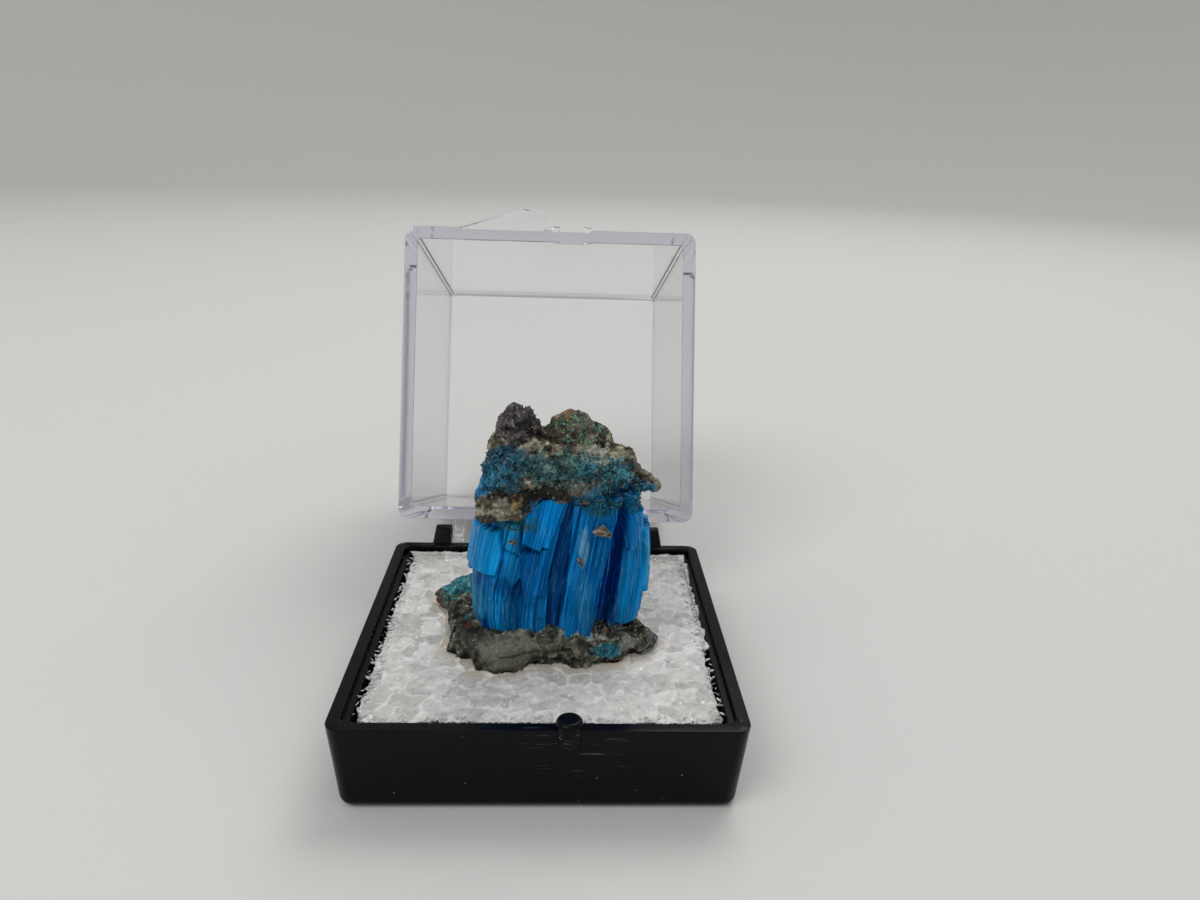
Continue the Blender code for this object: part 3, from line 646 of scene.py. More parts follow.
def grow(spots, rng, zone, count, widths, heights, paints, sides, spread):
    """Small crystals for a zone of a rock: short pointed prisms that stand out of its skin."""
    near = [(place, out) for place, out in spots if inside(place, *zone) < 1.0]
    tufts = []
    for number in range(count if near else 0):
        if number % BATCH == 0:
            tufts.append(bmesh.new())
            tone_layer = tufts[-1].verts.layers.float_color.new("tone")
        place, out = rng.choice(near)
        wide, tall = rng.uniform(*widths), rng.uniform(*heights)
        lean = (out + spread * Vector((rng.gauss(0, 1), rng.gauss(0, 1), rng.gauss(0, 1)))).normalized()
        paint = [c * rng.uniform(0.6, 1.2) for c in linear(rng.choice(paints))[:3]] + [1.0]
        shaped = (Matrix.Translation(place + lean * tall * 0.25)
                  @ lean.to_track_quat("Z", "Y").to_matrix().to_4x4())
        needle = bmesh.ops.create_cone(tufts[-1], cap_ends=True, segments=sides, radius1=wide,
                                       radius2=wide * 0.3, depth=tall, matrix=shaped)
        for vert in needle["verts"]:
            vert[tone_layer] = paint
    return tufts


TURQUOISE = ("#3A9A90", "#52AC9E", "#2A7F7C", "#1F5F5A", "#79BDB0")
PALE = ("#B0AD9E", "#7F9694", "#94B4B6", "#617D80")
LAGOON = ("#4E97A6", "#2F7F92", "#77B3BC", "#1F6A7C")
# Each row grows one zone: its centre and half sizes, how many crystals, their smallest and largest
# radius and height, their paints, how many sides they have and how far they lean about.
LOWER_CRUST = [
    (((-7.6, 3.4, 8.2), (2.2, 2.0, 1.3)), 420, (0.04, 0.1), (0.1, 0.2), TURQUOISE, 6, 0.5),
    (((-8.4, 4.6, 9.2), (2.4, 2.4, 0.6)), 320, (0.04, 0.1), (0.1, 0.25), LAGOON, 6, 0.5),
    (((6.3, -5.0, 10.2), (2.9, 1.6, 0.7)), 80, (0.02, 0.045), (0.4, 1.0), PALE, 4, 0.6),
    (((2.6, -6.1, 10.5), (1.6, 1.0, 0.7)), 130, (0.04, 0.09), (0.12, 0.3), PALE, 5, 0.6),
    (((5.6, -6.1, 8.3), (1.3, 1.2, 0.7)), 90, (0.03, 0.08), (0.08, 0.2), LAGOON, 5, 0.5),
]
lower = worn_copy("lower_matrix", LOWER_SQUARE)
dress(lower, LOWER_SEED, LOWER_TONES, LOWER_PATCHES, LOWER_CALM, [])
chance = random.Random(21)
lower_spots = skin_spots(lower)
for row in LOWER_CRUST:
    pour(lower, grow(lower_spots, chance, *row))

# Weathered stone: dull, with a fine grain that breaks its colour up and a few bright mineral
# grains that catch the light. The grain is drawn coarser than real, so that it shows.
stone, tree, shader = finish("weathered matrix stone", {"IOR": 1.5, "Specular IOR Level": 0.3})
place = add_node(tree, "TexCoord", {}).outputs["Object"]
tint = add_node(tree, "Attribute", {}, attribute_name="tone").outputs["Color"]
grain = add_node(tree, "TexNoise", {
    "Vector": place, "Scale": 1 / (0.3 * MM), "Detail": 6.0, "Roughness": 0.8})
depth = add_node(tree, "MapRange", {
    "Value": grain, "From Min": 0.32, "From Max": 0.68, "To Min": 0.6, "To Max": 1.45})
grained = add_node(tree, "VectorMath", {0: tint, "Scale": depth}, operation="SCALE")
flecks = add_node(tree, "TexVoronoi", {"Vector": place, "Scale": 1 / (0.2 * MM)})
fleck = add_node(tree, "SeparateColor", {"Color": flecks.outputs["Color"]})
bright = add_node(tree, "MapRange", {
    "Value": fleck.outputs["Blue"], "From Min": 0.92, "From Max": 0.98, "To Min": 0.0, "To Max": 0.35})
flecked = add_node(tree, "Mix", {0: bright, 6: grained, 7: linear("#B5B0A2")}, data_type="RGBA")
polish = add_node(tree, "MapRange", {
    "Value": fleck.outputs["Red"], "From Min": 0.85, "From Max": 0.97, "To Min": 0.85, "To Max": 0.35})
rough = add_node(tree, "Bump", {"Height": grain, "Strength": 0.9, "Distance": 0.12 * MM})
feed(tree, shader, {"Base Color": flecked, "Roughness": polish, "Normal": rough})

lower_rock = show("lower_rock", lower, stone)
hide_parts("lower_matrix")
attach(lower_rock, "base")


# The crystals: a vein of chalcanthite, grown as upright fibres that lean to the right on their way
# up. Bundles of fibres have broken off at different depths, which leaves slabs with sharp ledges.
VEIN_LEFT, VEIN_RIGHT = -6.0, 8.35
VEIN_FRONT, VEIN_BACK = -5.5, 4.0
VEIN_FOOT, VEIN_TOP = 9.7, 21.0
VEIN_MIDDLE = (-1.2, 0.75, 0.0)
VEIN_COLUMNS = 820
VEIN_ROWS = 108
BLUNTNESS = 0.55
BREAK_LENGTH = 4.5
FOOT_RINGS = (0.8, 0.5)
TOP_RINGS = (0.95, 0.94, 0.92, 0.89, 0.85, 0.75)
THREADS_PER_MM = 5.5
SPLITS_PER_MM = 9.0
FIBRES = ((1.5, 0.14, 0.30), (0.55, 0.06, 0.30), (0.21, 0.02, 0.55))
# Each slab has its outline over x and z, how far it stands out, its paint and the paint's strength.
# The paints are partly the fibres' own blue and partly painted light and shade: slabs that stand
# out are painted lighter, and the two sunk grooves first in the table darker.
FRONT_SLABS = [
    ([(0.1, 9.0), (1.6, 9.0), (1.85, 13.0), (2.5, 16.7), (3.6, 22.6), (2.2, 22.6), (1.24, 19.35),
      (0.34, 14.8)], -0.55, "#022A62", 0.9),
    ([(4.12, 9.0), (5.3, 9.0), (6.3, 15.0), (7.2, 23.0), (6.5, 23.0), (5.6, 18.7), (4.5, 13.0)],
     -0.75, "#01338A", 0.92),
    ([(5.5, 9.0), (8.1, 9.0), (8.4, 15.0), (8.2, 23.0), (7.2, 23.0), (6.5, 15.0)],
     -0.15, "#0488CA", 0.85),
    ([(8.15, 12.6), (10.5, 12.6), (10.5, 18.2), (8.35, 18.4)], 0.4, "#2298D4", 0.6),
    ([(-3.6, 9.0), (-2.3, 9.0), (-2.2, 12.0), (-2.7, 13.2), (-3.5, 12.8)], 0.2, "#126EA2", 0.6),
    ([(-1.0, 9.0), (0.0, 9.0), (0.1, 12.0), (-0.9, 12.4)], 0.16, "#0B5C90", 0.6),
    ([(-4.6, 12.4), (-3.9, 12.1), (-3.7, 14.2), (-4.5, 14.6)], 0.25, "#0A78B4", 0.7),
    ([(-0.6, 11.2), (0.2, 11.0), (0.3, 12.9), (-0.5, 13.1)], 0.22, "#0A6CA6", 0.6),
    ([(6.6, 17.2), (7.6, 17.4), (7.9, 20.6), (6.9, 20.4)], 0.3, "#0A7CC0", 0.7),
    ([(-3.35, 17.1), (-1.95, 17.0), (-1.85, 19.4), (-3.3, 19.4)], 0.4, "#1276A8", 0.6),
    ([(-7.5, 14.5), (-3.86, 14.75), (-3.3, 16.45), (-3.5, 18.7), (-7.5, 18.5)], 0.62, "#0490D2", 0.85),
    ([(-3.34, 15.3), (-2.61, 14.1), (-1.79, 15.3), (-1.9, 17.0), (-3.33, 16.9)], 0.42, "#0E76B0", 0.8),
    ([(-1.85, 14.9), (-1.61, 12.7), (-0.14, 13.5), (0.2, 15.4), (0.35, 17.6), (-2.0, 17.4)],
     0.6, "#0468AC", 0.85),
    ([(-1.79, 18.2), (-0.74, 17.9), (0.31, 17.4), (0.62, 18.2), (1.22, 20.4), (1.9, 22.6), (-1.3, 22.6)],
     0.8, "#048CDA", 0.9),
    ([(1.66, 9.0), (4.1, 9.0), (4.5, 13.0), (5.6, 18.7), (5.6, 20.2), (4.4, 23.0), (3.3, 21.0),
      (2.35, 15.5)], 0.9, "#056CAE", 0.75),
]
BACK_SLABS = [
    ([(-4.4, 9.0), (0.4, 9.0), (0.9, 18.6), (-3.8, 18.9)], 0.5, "#0468B0", 0.7),
    ([(2.2, 9.0), (6.4, 9.0), (7.4, 19.3), (3.2, 19.5)], 0.6, "#0582CA", 0.7),
    ([(-1.9, 9.0), (-0.6, 9.0), (-0.2, 14.6), (-1.6, 15.2)], 0.3, "#0374BC", 0.6),
    ([(4.4, 9.0), (5.6, 9.0), (6.2, 16.4), (5.0, 15.8)], 0.25, "#0A55A0", 0.6),
]
VEIN_TONES = ("#033878", "#0466A6", "#0686C6", "#2A9CD0")
VEIN_PATCHES = [
    ((-5.9, -4.6, 11.8), (1.3, 2.6, 2.0), "#2C8FBC", 0.8),
    # Painted highlight: a pale streak of glints along the centre bundle's left edge.
    ((3.1, -6.5, 18.0), (0.45, 1.5, 1.9), "#86BEDA", 0.55),
    ((3.3, -6.5, 13.0), (0.6, 1.5, 3.0), "#3A8FBE", 0.5),
    ((-3.2, -6.0, 11.6), (2.6, 2.0, 1.5), "#0F6398", 0.5),
    # Painted shade under the left slab.
    ((-3.4, -6.0, 13.8), (1.6, 2.0, 0.9), "#04447E", 0.7),
    ((5.5, -5.4, 11.3), (1.2, 2.0, 0.9), "#0C4F84", 0.6),
    # These two are partly the vein's own azure and partly painted light coming through its thin right
    # edge.
    ((8.6, -3.0, 13.4), (0.9, 4.0, 2.6), "#0488CE", 0.7),
    ((9.0, -3.9, 15.6), (0.7, 1.7, 3.2), "#5FBCE4", 0.5),
    ((-3.0, -6.0, 19.8), (2.8, 2.0, 1.0), "#2C7C92", 0.8),
    ((4.3, -6.0, 21.7), (1.9, 2.0, 1.3), "#1A5C78", 0.9),
    ((7.2, -4.4, 21.6), (1.8, 3.0, 0.9), "#12688C", 0.9),
]


def signed_power(value, power):
    return math.copysign(abs(value) ** power, value)


def vein_side(angle, share):
    """Point on the vein's side, at an angle round it and a share of its height."""
    across = signed_power(math.cos(angle), BLUNTNESS)
    along = signed_power(math.sin(angle), BLUNTNESS)
    left = VEIN_LEFT - 0.6 * math.sin(math.pi * share ** 0.7) + 1.0 * share
    right = VEIN_RIGHT + 0.6 * math.sin(math.pi * share) - 0.6 * share
    leaning = across + 0.26 * share ** 1.7 * (1.0 - across * across)
    x = (left + right) / 2 + (right - left) / 2 * leaning
    y = (VEIN_FRONT + VEIN_BACK) / 2 + (VEIN_BACK - VEIN_FRONT) / 2 * along
    return x, y


def depth_inside(outline, x, z):
    """Distance from a point to the nearest edge of a convex outline, above 0 inside it."""
    nearest = 99.0
    for (ax, az), (bx, bz) in zip(outline, outline[1:] + outline[:1]):
        length = math.hypot(bx - ax, bz - az)
        nearest = min(nearest, ((bx - ax) * (z - az) - (bz - az) * (x - ax)) / length)
    return nearest


def even_turns(count):
    """Angles round the vein's foot that leave equal steps along its side."""
    turns = [2 * math.pi * i / 4000 for i in range(4001)]
    feet = [Vector(vein_side(turn, 0.0)) for turn in turns]
    travelled = [0.0]
    for start, end in zip(feet, feet[1:]):
        travelled.append(travelled[-1] + (end - start).length)
    chosen, cursor = [], 0
    for number in range(count):
        target = travelled[-1] * number / count
        while travelled[cursor + 1] < target:
            cursor += 1
        step = travelled[cursor + 1] - travelled[cursor]
        chosen.append(turns[cursor] + turns[1] * (target - travelled[cursor]) / max(step, 1e-9))
    return chosen


turns = even_turns(VEIN_COLUMNS)
front_slabs, back_slabs, vein_patches = mixed(FRONT_SLABS), mixed(BACK_SLABS), mixed(VEIN_PATCHES)
deep_blue, mid_blue, clear_blue, pale_blue = [linear(tone) for tone in VEIN_TONES]
vein = bmesh.new()
bmesh.ops.create_grid(vein, x_segments=VEIN_COLUMNS, y_segments=VEIN_ROWS, size=0.5)
tone_layer = vein.verts.layers.float_color.new("tone")
fibre_layer = vein.verts.layers.float_vector.new("fibre")
for vert in vein.verts:
    turn = turns[round((vert.co.x + 0.5) * VEIN_COLUMNS) % VEIN_COLUMNS]
    share = vert.co.y + 0.5
    foot_x, foot_y = vein_side(turn, 0.0)
    x, y = vein_side(turn, share)
    ahead, behind = Vector(vein_side(turn + 0.004, share)), Vector(vein_side(turn - 0.004, share))
    out = Vector((ahead.y - behind.y, behind.x - ahead.x)).normalized()
    bottom = VEIN_FOOT + 0.05 * x
    top = VEIN_TOP + 0.12 * x
    if y < 0:
        top += 1.0 * eased(x, -2.3, 0.7) * eased(x, 5.8, 4.4) * eased(y, -1.0, -4.5)
    z = bottom + (top - bottom) * share
    relief, shift, streak = 0.0, 0.0, 0.0
    for width, rise, tilt in FIBRES:
        spot = Vector((foot_x / width, foot_y / width, width * 10))
        near, centres = noise.voronoi(spot)
        lean = noise.cell_vector(centres[0] * 5.3) - Vector((0.5, 0.5, 0.5))
        away = spot - centres[0]
        relief += rise * lean.z + tilt * width * (lean.x * away.x + lean.y * away.y)
        shift += 0.3 * width * lean.y
        streak += 0.4 * lean.x
        broken = noise.cell(centres[0] * 3.7 + Vector((0, 0, math.floor(z / BREAK_LENGTH + 9 * lean.z))))
        relief += 0.6 * rise * (broken - 0.5)
    along = Vector((foot_x * 0.7, foot_y * 0.7, z * 0.16))
    drift = 0.45 + streak + 0.35 * noise.fractal(along, 0.8, 2.3, 4)
    colour = blend(deep_blue, mid_blue, eased(drift, 0.0, 0.4))
    colour = blend(colour, clear_blue, eased(drift, 0.4, 0.8))
    colour = blend(colour, pale_blue, eased(drift, 0.8, 1.15))
    in_front = y < 0.8 + 1.4 * noise.noise(Vector((0.5, 2.0, z / 1.3)))
    for outline, rise, paint, strength in front_slabs if in_front else back_slabs:
        within = depth_inside(outline, x, z + shift)
        if within > -0.05:
            relief += rise * eased(within, -0.03, 0.08)
            colour = blend(colour, paint, strength * eased(within, -0.02, 0.06))
    spot = Vector((x + out.x * relief, y + out.y * relief, z))
    fray = 0.5 * noise.noise(Vector((foot_x * 2.2, foot_y * 2.2, z * 0.5)))
    for centre, halves, paint, strength in vein_patches:
        far = inside(spot, centre, halves)
        if far < 1.7:
            colour = blend(colour, paint, strength * eased(far + fray, 1.15, 0.6))
    glow = 1.05 + 0.8 * streak + 0.3 * noise.noise(Vector((foot_x * 1.4, foot_y * 1.4, z * 0.3)))
    vert[fibre_layer] = Vector((foot_x, foot_y, z))
    vert[tone_layer] = [c * glow for c in colour[:3]] + [1.0]
    vert.co = spot
bmesh.ops.remove_doubles(vein, verts=vein.verts, dist=1e-4)
for side in (-1, 1):
    loop = [edge for edge in vein.edges if edge.is_boundary and (edge.verts[0].co.z - 15) * side > 0]
    for shrink in FOOT_RINGS if side < 0 else TOP_RINGS:
        grown = bmesh.ops.extrude_edge_only(vein, edges=loop)["geom"]
        bmesh.ops.scale(vein, vec=(shrink, shrink, 1.0), space=Matrix.Translation(VEIN_MIDDLE),
                        verts=points(grown))
        for vert in points(grown):
            bits, bit = flat_bits(Vector((vert.co.x, vert.co.y, 3.0)), 0.6)[:2]
            vert.co.z += 0.14 * bits
            vert[fibre_layer] = vert.co
            vert[tone_layer] = blend(deep_blue, clear_blue, eased(bit, 0.2, 1.0))
        loop = [item for item in grown if isinstance(item, bmesh.types.BMEdge) and item.is_boundary]
    bmesh.ops.holes_fill(vein, edges=loop, sides=0)
bmesh.ops.recalc_face_normals(vein, faces=vein.faces)
vein.normal_update()
vein_spots = [spot for spot in skin_spots(vein) if abs(spot[1].z) < 0.5]
broken_ends = [spot for spot in skin_spots(vein) if spot[1].z > 0.5]

# Chalcanthite: hydrated copper sulphate, glassy to silky. Light goes deep into it and comes back
# azure from thin edges and royal blue from the thick parts. Pale streaks along the fibres are a
# painted sheen and their brightest flecks painted glints, coarser than the real threads, so that they
# show.
blue, tree, shader = finish("fibrous chalcanthite", {
    "IOR": 1.53, "Specular IOR Level": 0.22, "Specular Tint": linear("#3A9CE4"),
    "Transmission Weight": 0.16, "Subsurface Weight": 0.4,
    "Subsurface Radius": (0.1, 0.6, 1.0), "Subsurface Scale": 0.4 * MM})
tint = add_node(tree, "Attribute", {}, attribute_name="tone").outputs["Color"]
thread = add_node(tree, "Attribute", {}, attribute_name="fibre").outputs["Vector"]
long_thread = add_node(tree, "Mapping", {"Vector": thread, "Scale": (1.0, 1.0, 0.06)})
streaks = add_node(tree, "TexNoise", {
    "Vector": long_thread, "Scale": THREADS_PER_MM, "Detail": 4.0, "Roughness": 0.75})
# Painted sheen: pale streaks along the fibres.
streak = add_node(tree, "MapRange", {
    "Value": streaks, "From Min": 0.56, "From Max": 0.68, "To Min": 0.0, "To Max": 0.55})
dim = add_node(tree, "MapRange", {
    "Value": streaks, "From Min": 0.3, "From Max": 0.5, "To Min": 0.6, "To Max": 1.25})
dimmed = add_node(tree, "VectorMath", {0: tint, "Scale": dim}, operation="SCALE")
with_painted_sheen = add_node(tree, "Mix", {0: streak, 6: dimmed, 7: linear("#4FA9D8")}, data_type="RGBA")
silk = add_node(tree, "MapRange", {
    "Value": streaks, "From Min": 0.35, "From Max": 0.65, "To Min": 0.14, "To Max": 0.36})
fine_thread = add_node(tree, "TexNoise", {"Vector": long_thread, "Scale": SPLITS_PER_MM, "Detail": 2.0})
# Painted glints: the brightest fine threads turn near white.
painted_glint = add_node(tree, "MapRange", {
    "Value": fine_thread, "From Min": 0.68, "From Max": 0.74, "To Min": 0.0, "To Max": 0.5})
with_painted_glints = add_node(tree, "Mix", {0: painted_glint, 6: with_painted_sheen, 7: linear("#9AD4EE")}, data_type="RGBA")
ridges = add_node(tree, "Bump", {"Height": fine_thread, "Strength": 0.5, "Distance": 0.05 * MM})
deep = add_node(tree, "VolumeAbsorption", {"Color": linear("#38E1F8"), "Density": 1600.0})
feed(tree, shader, {"Base Color": with_painted_glints, "Roughness": silk, "Normal": ridges})
feed(tree, tree.nodes["Material Output"], {"Volume": deep})

fibre_crystals = show("fibre_crystals", vein, blue, 50)
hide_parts("chalcanthite_crystals")
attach(fibre_crystals, "base")


# The upper rock: a cap of matrix on the vein. Its top is a grey and a brown knob with a cleft
# between, and a belt of small blue-green crystals runs round it, over a dark lip at the front.
UPPER_SQUARE = 0.098
UPPER_SEED = 8.0
UPPER_TONES = ("#1A1712", "#5A5445", "#9C957F")
UPPER_PATCHES = [
    ((-2.4, -2.4, 27.4), (2.1, 2.4, 1.7), "#676268", 0.9),
    ((-3.2, -3.7, 27.2), (0.7, 0.9, 0.6), "#463A46", 0.8),
    ((-0.9, -2.8, 27.2), (0.7, 1.4, 1.1), "#26211B", 0.85),
    ((-2.4, -4.2, 25.9), (1.9, 1.4, 0.6), "#9B978C", 0.8),
    ((1.5, -2.6, 28.1), (1.3, 2.0, 0.65), "#A47C4E", 0.9),
    ((2.6, -2.6, 27.0), (2.2, 1.9, 1.4), "#4E463B", 0.8),
    ((0.2, -4.2, 26.6), (0.6, 1.2, 0.7), "#191612", 0.8),
    ((1.9, -4.6, 25.7), (0.6, 1.2, 0.7), "#191612", 0.8),
    ((3.9, -4.3, 25.2), (1.6, 1.7, 1.2), "#A9AC9C", 0.9),
    ((6.6, -3.0, 23.9), (2.2, 2.6, 1.1), "#7A7460", 0.75),
    ((8.6, -2.6, 22.2), (1.1, 1.4, 0.6), "#908A78", 0.8),
    ((-3.0, -5.0, 24.7), (2.0, 2.4, 1.3), "#2A5C78", 0.9),
    ((-4.0, -4.6, 23.4), (1.7, 2.6, 1.0), "#23708F", 0.9),
    ((-5.1, -3.4, 22.5), (1.0, 3.0, 1.2), "#1F86B8", 0.92),
    ((1.2, -4.9, 24.3), (3.4, 2.2, 1.3), "#4A7A7A", 0.8),
    ((3.4, -4.9, 24.2), (1.0, 1.4, 0.7), "#1E7C9C", 0.8),
    ((5.9, -4.2, 23.7), (1.9, 2.0, 0.9), "#328596", 0.85),
    ((3.9, -5.0, 22.6), (3.4, 1.8, 0.9), "#1D6480", 0.9),
    ((7.2, -3.4, 21.9), (1.8, 2.2, 0.9), "#147EAA", 0.92),
    ((-4.2, -5.3, 20.9), (1.7, 1.6, 0.9), "#A39D88", 0.9),
    ((-4.6, -5.7, 20.1), (0.8, 0.8, 0.5), "#1E1A1A", 0.9),
    ((-1.6, -5.6, 21.6), (1.5, 1.5, 0.9), "#24211D", 0.95),
    ((-2.4, -5.9, 21.7), (0.6, 0.8, 0.6), "#A08A64", 0.8),
    ((0.8, -5.6, 22.6), (1.6, 1.4, 0.8), "#262420", 0.95),
    ((2.6, -5.6, 23.1), (1.2, 1.2, 0.6), "#757062", 0.8),
    ((-3.6, -5.9, 19.6), (2.2, 0.8, 0.4), "#3B7C86", 0.8),
    ((1.0, -5.6, 21.4), (2.6, 1.2, 0.5), "#226F90", 0.8),
    ((0.0, 3.0, 22.2), (6.5, 2.2, 1.7), "#22708A", 0.85),
    ((-2.4, 2.6, 25.6), (1.8, 2.0, 1.0), "#7C776B", 0.6),
    ((3.4, 2.4, 25.2), (1.4, 1.6, 0.8), "#6B4A2E", 0.5),
]
UPPER_CALM = [((3.9, -4.3, 25.2), (1.4, 1.5, 1.0), 0.8)]
# Each dent has its centre, its half sizes and the way that its middle is pushed.
UPPER_DENTS = [
    ((-0.13, -2.2, 27.6), (0.75, 3.4, 1.6), (0, 0, -1.25)),
    ((-1.5, -2.2, 28.2), (0.9, 1.9, 1.4), (0, 0, 0.95)),
    ((-2.6, -2.2, 28.3), (1.0, 1.8, 1.2), (0, 0, 0.9)),
]
KNOB_TOP = 28.7
DRUSE = ("#26607C", "#2C7C96", "#2C7486", "#194A64", "#6AA3AC", "#16394E")
TEAL = ("#2F6A72", "#4A8486", "#1F5462", "#6F9C96", "#3A625F", "#21464A")
MINGLED = DRUSE + TEAL
MINT = ("#5E9C84", "#7DB49A", "#3F8070", "#8FBFA6")
FROST = ("#6E6A6C", "#545055", "#95918E", "#39343A")
upper = worn_copy("upper_matrix", UPPER_SQUARE)
dress(upper, UPPER_SEED, UPPER_TONES, UPPER_PATCHES, UPPER_CALM, UPPER_DENTS)
for vert in upper.verts:
    limit = KNOB_TOP - 0.12 * abs(vert.co.x + 2.6) + 0.15 * noise.noise(vert.co / 0.5)
    if vert.co.x < -0.4 and vert.co.z > limit:
        vert.co.z = limit + 0.2 * (vert.co.z - limit)
chance = random.Random(31)
upper_spots = skin_spots(upper)
# These rows start with the skin that the crystals grow on, the rock's or the vein's.
UPPER_CRUST = [
    (upper_spots, ((-3.6, -4.6, 23.8), (2.4, 2.6, 1.9)), 560, (0.04, 0.1), (0.12, 0.3), DRUSE, 5, 0.6),
    (upper_spots, ((2.4, -4.8, 24.1), (4.4, 2.2, 1.4)), 700, (0.04, 0.09), (0.1, 0.28), TEAL, 5, 0.7),
    (upper_spots, ((5.6, -4.2, 22.3), (3.6, 2.2, 1.0)), 480, (0.04, 0.1), (0.12, 0.32), DRUSE, 5, 0.6),
    (upper_spots, ((-2.3, -2.6, 27.3), (1.9, 2.2, 1.5)), 420, (0.05, 0.1), (0.08, 0.2), FROST, 6, 0.5),
    (upper_spots, ((3.0, -2.8, 27.0), (2.3, 2.4, 1.3)), 170, (0.05, 0.15), (0.06, 0.12), MINT, 6, 0.4),
    (upper_spots, ((0.0, 2.6, 22.6), (6.5, 2.4, 1.9)), 480, (0.05, 0.11), (0.12, 0.3), DRUSE, 5, 0.6),
    (vein_spots, ((4.2, -6.0, 21.8), (2.6, 1.6, 0.8)), 260, (0.03, 0.08), (0.1, 0.3), MINGLED, 5, 0.6),
    (broken_ends, ((6.9, -0.8, 21.8), (2.6, 4.8, 1.1)), 300, (0.05, 0.12), (0.1, 0.3), DRUSE, 5, 0.5),
    (broken_ends, ((1.5, 3.4, 21.3), (5.5, 1.4, 0.9)), 200, (0.05, 0.12), (0.1, 0.3), DRUSE, 5, 0.5),
    (vein_spots, ((7.2, -4.6, 21.3), (1.7, 2.6, 0.8)), 220, (0.03, 0.08), (0.1, 0.3), DRUSE, 5, 0.6),
    (vein_spots, ((-3.4, -6.0, 19.6), (2.6, 1.4, 0.6)), 160, (0.03, 0.07), (0.08, 0.2), TEAL, 5, 0.6),
]
for spots, *row in UPPER_CRUST:
    pour(upper, grow(spots, chance, *row))

upper_rock = show("upper_rock", upper, stone)
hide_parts("upper_matrix")
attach(upper_rock, "base")


# The chips: three splinters of the matrix that stuck to the front of the crystals when the
# specimen was broken out, each a tan flake with some dark brown faces.
CHIP_CORNERS = 13
# Each chip has its names, its centre, its half sizes, how far it leans and its seed.
CHIPS = [
    ("right_chip", "chip_right", (4.55, -6.8, 19.7), (0.95, 0.5, 0.56), 0.35, 3),
    ("middle_chip", "chip_middle", (2.85, -6.55, 16.9), (0.46, 0.42, 0.34), 1.0, 5),
    ("left_chip", "chip_left", (-2.6, -5.95, 18.3), (0.4, 0.55, 0.22), 0.2, 8),
]
chip_tones = [linear(tone) for tone in ("#332A20", "#6E6452", "#9A927E")]
for name, node, centre, halves, lean, seed in CHIPS:
    chance = random.Random(seed)
    splinter = bmesh.new()
    for corner in range(CHIP_CORNERS):
        way = Vector((chance.gauss(0, 1), chance.gauss(0, 1), chance.gauss(0, 1))).normalized()
        splinter.verts.new(way * chance.uniform(0.8, 1.05))
    bmesh.ops.convex_hull(splinter, input=splinter.verts)
    round_edges(splinter, splinter.edges[:], 0.05, 1)
    bmesh.ops.triangulate(splinter, faces=splinter.faces)
    bmesh.ops.subdivide_edges(splinter, edges=splinter.edges[:], cuts=4, use_grid_fill=True)
    tone_layer = splinter.verts.layers.float_color.new("tone")
    splinter.normal_update()
    for vert in splinter.verts:
        bits, bit = flat_bits(vert.co + Vector((seed, 2, 1)), 0.4)[:2]
        colour = blend(chip_tones[0], chip_tones[1], eased(bit + 0.3 * bits, 0.05, 0.5))
        colour = blend(colour, chip_tones[2], eased(bit + 0.3 * bits, 0.5, 0.95))
        vert[tone_layer] = colour[:3] + [1.0]
        vert.co += vert.normal * 0.07 * bits
    bmesh.ops.transform(splinter, verts=splinter.verts, matrix=Matrix.LocRotScale(
        Vector(centre), Matrix.Rotation(lean, 3, "Y"), Vector(halves)))
    chip = show(name, splinter, stone, 35)
    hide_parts(node)
    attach(chip, "base")


# The lid: one clear polystyrene moulding, a deep box with thin walls. Its rim has the catch notch
# between two prongs and a thumb wedge; two ears behind it carry the stub pins of the hinge.
LID_WIDTH = 32.0
LID_TOP_WIDTH = 30.8
LID_DEPTH = 27.5
LID_RIM = TRAY_HEIGHT + 0.2
LID_WALL = 1.4
LID_ROOF = 1.2
LID_TURN = math.radians(-111.581)
LID_PLAY = -0.2
PIN_RADIUS = 0.28
NOTCH_WIDTH = 2.66
NOTCH_HEIGHT = 0.9
PRONG_WIDTH = 0.9
WEDGE_HEIGHT = 1.28
WEDGE = [(-10.2, 0.0), (-3.1, 2.3), (-0.7, 1.95), (-0.7, -0.5), (-10.2, -0.5)]


def block(low, high):
    """Plain box between two corners, to be rounded, joined or cut away."""
    shape = bmesh.new()
    bmesh.ops.create_cube(shape, size=1.0)
    bmesh.ops.transform(shape, verts=shape.verts, matrix=Matrix.LocRotScale(
        (Vector(high) + Vector(low)) / 2, None, Vector(high) - Vector(low)))
    return shape


side_wall = LID_WIDTH / 2
roof_top = LID_RIM + LID_DEPTH
lid = block((-side_wall, -side_wall, LID_RIM), (side_wall, side_wall, roof_top))
bmesh.ops.scale(lid, vec=(LID_TOP_WIDTH / LID_WIDTH, LID_TOP_WIDTH / LID_WIDTH, 1),
                verts=[vert for vert in lid.verts if vert.co.z > LID_RIM + 1])
mouth = min(lid.faces, key=lambda face: face.calc_center_median().z)
ceiling = sink(lid, mouth, LID_WALL, LID_ROOF - LID_DEPTH)
narrowed = (LID_TOP_WIDTH / 2 - LID_WALL) / (side_wall - LID_WALL)
bmesh.ops.scale(lid, vec=(narrowed, narrowed, 1), verts=ceiling.verts)
bmesh.ops.recalc_face_normals(lid, faces=lid.faces)
round_edges(lid, uprights(lid, 15.2, 16.1), CORNER_ROUND, 7)
round_edges(lid, uprights(lid, 13.8, 14.8), 0.45, 4)
round_edges(lid, creases(lid, roof_top - 0.1, roof_top + 1), 0.4, 4)
round_edges(lid, creases(lid, roof_top - LID_ROOF - 0.1, roof_top - LID_ROOF + 0.1), 0.3, 3)
round_edges(lid, creases(lid, LID_RIM - 1, LID_RIM + 0.05), 0.08, 2)

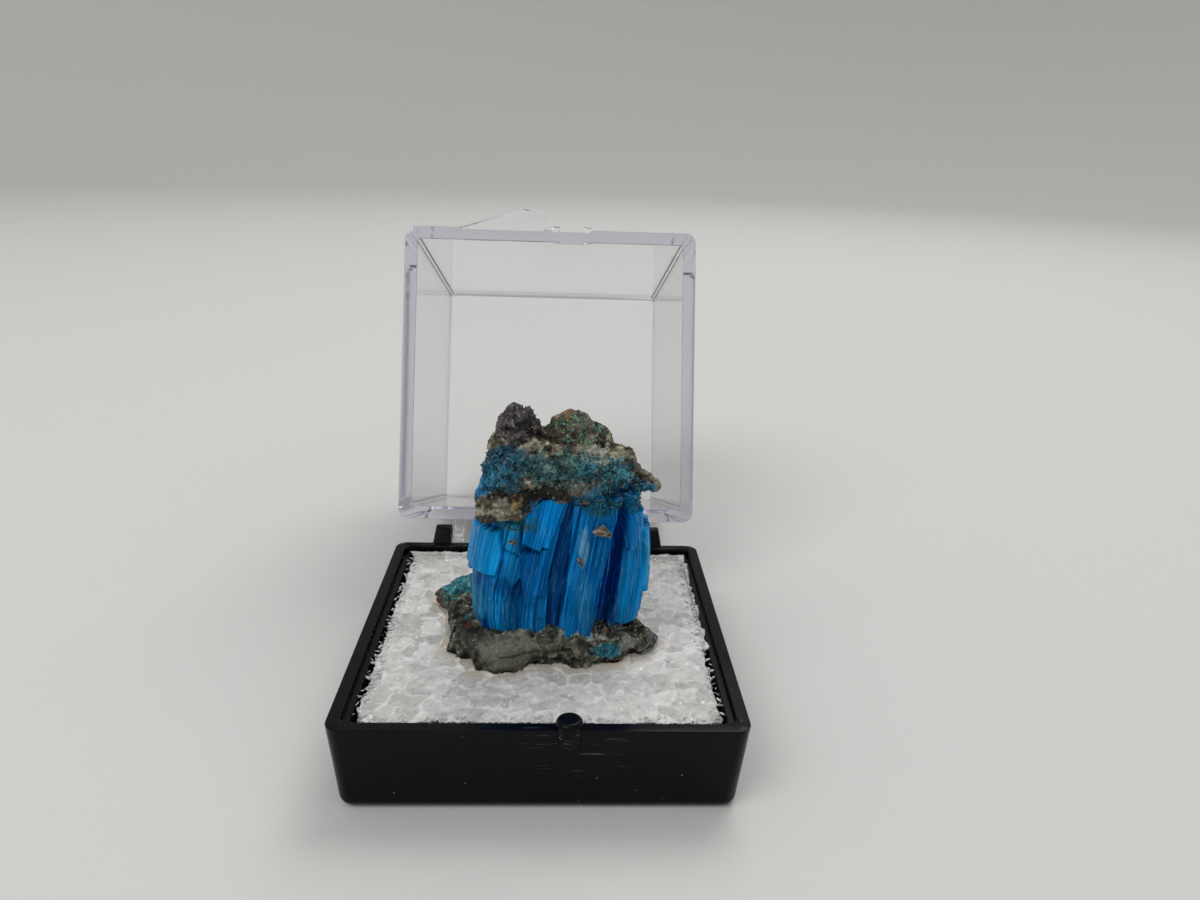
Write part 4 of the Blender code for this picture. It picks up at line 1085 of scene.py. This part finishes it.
wedge = bmesh.new()
base = wedge.faces.new([wedge.verts.new((x, -side_wall - proud, LID_RIM + 0.01)) for x, proud in WEDGE])
raised = bmesh.ops.extrude_face_region(wedge, geom=[base])["geom"]
bmesh.ops.translate(wedge, vec=(0, 0, WEDGE_HEIGHT), verts=points(raised))
bmesh.ops.recalc_face_normals(wedge, faces=wedge.faces)
round_edges(wedge, wedge.edges[:], 0.15, 3)
lid = weld(lid, wedge, "UNION")
for side in (-1, 1):
    middle = PEG_X + side * (NOTCH_WIDTH + PRONG_WIDTH) / 2
    prong = block((middle - PRONG_WIDTH / 2, -side_wall - 0.4, LID_RIM + 0.01),
                  (middle + PRONG_WIDTH / 2, -side_wall + 0.5, LID_RIM + 1.6))
    round_edges(prong, prong.edges[:], 0.12, 3)
    lid = weld(lid, prong, "UNION")
    outer_end = side * (KNUCKLE_X - KNUCKLE_WIDTH / 2 - 0.5)
    pin_end = side * (KNUCKLE_X + KNUCKLE_WIDTH / 2 - 0.3)
    ear = hinge_ear(outer_end - side, outer_end, 0.0, (LID_RIM + 0.1, TRAY_HEIGHT + 2.2))
    lid = weld(lid, ear, "UNION")
    lid = weld(lid, rod(outer_end - side * 0.4, pin_end, PIN_RADIUS, 20), "UNION")
notch = block((PEG_X - NOTCH_WIDTH / 2, -side_wall - 2, LID_RIM - 1),
              (PEG_X + NOTCH_WIDTH / 2, -side_wall + 2, LID_RIM + NOTCH_HEIGHT))
lid = weld(lid, notch, "DIFFERENCE")
hinge = Vector((0, HINGE_Y, HINGE_Z))
bmesh.ops.transform(lid, verts=lid.verts, matrix=Matrix.Translation(hinge + Vector((LID_PLAY, 0, 0)))
                    @ Matrix.Rotation(LID_TURN, 4, "X") @ Matrix.Translation(-hinge))

# Clear general-purpose polystyrene: glass-clear through a wall, and faintly lilac where the eye
# looks along one.
clear, tree, shader = finish("clear polystyrene", {
    "Base Color": linear("#FFFFFF"), "IOR": 1.59, "Transmission Weight": 1.0, "Roughness": 0.05})
tint = add_node(tree, "VolumeAbsorption", {"Color": linear("#D8D7E4"), "Density": 36.0})
feed(tree, tree.nodes["Material Output"], {"Volume": tint})

clear_lid = show("clear_lid", lid, clear, 32)
shading = clear_lid.modifiers.new("flat faces", "WEIGHTED_NORMAL")
shading.keep_sharp = True
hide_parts("lid")
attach(clear_lid, "lid")
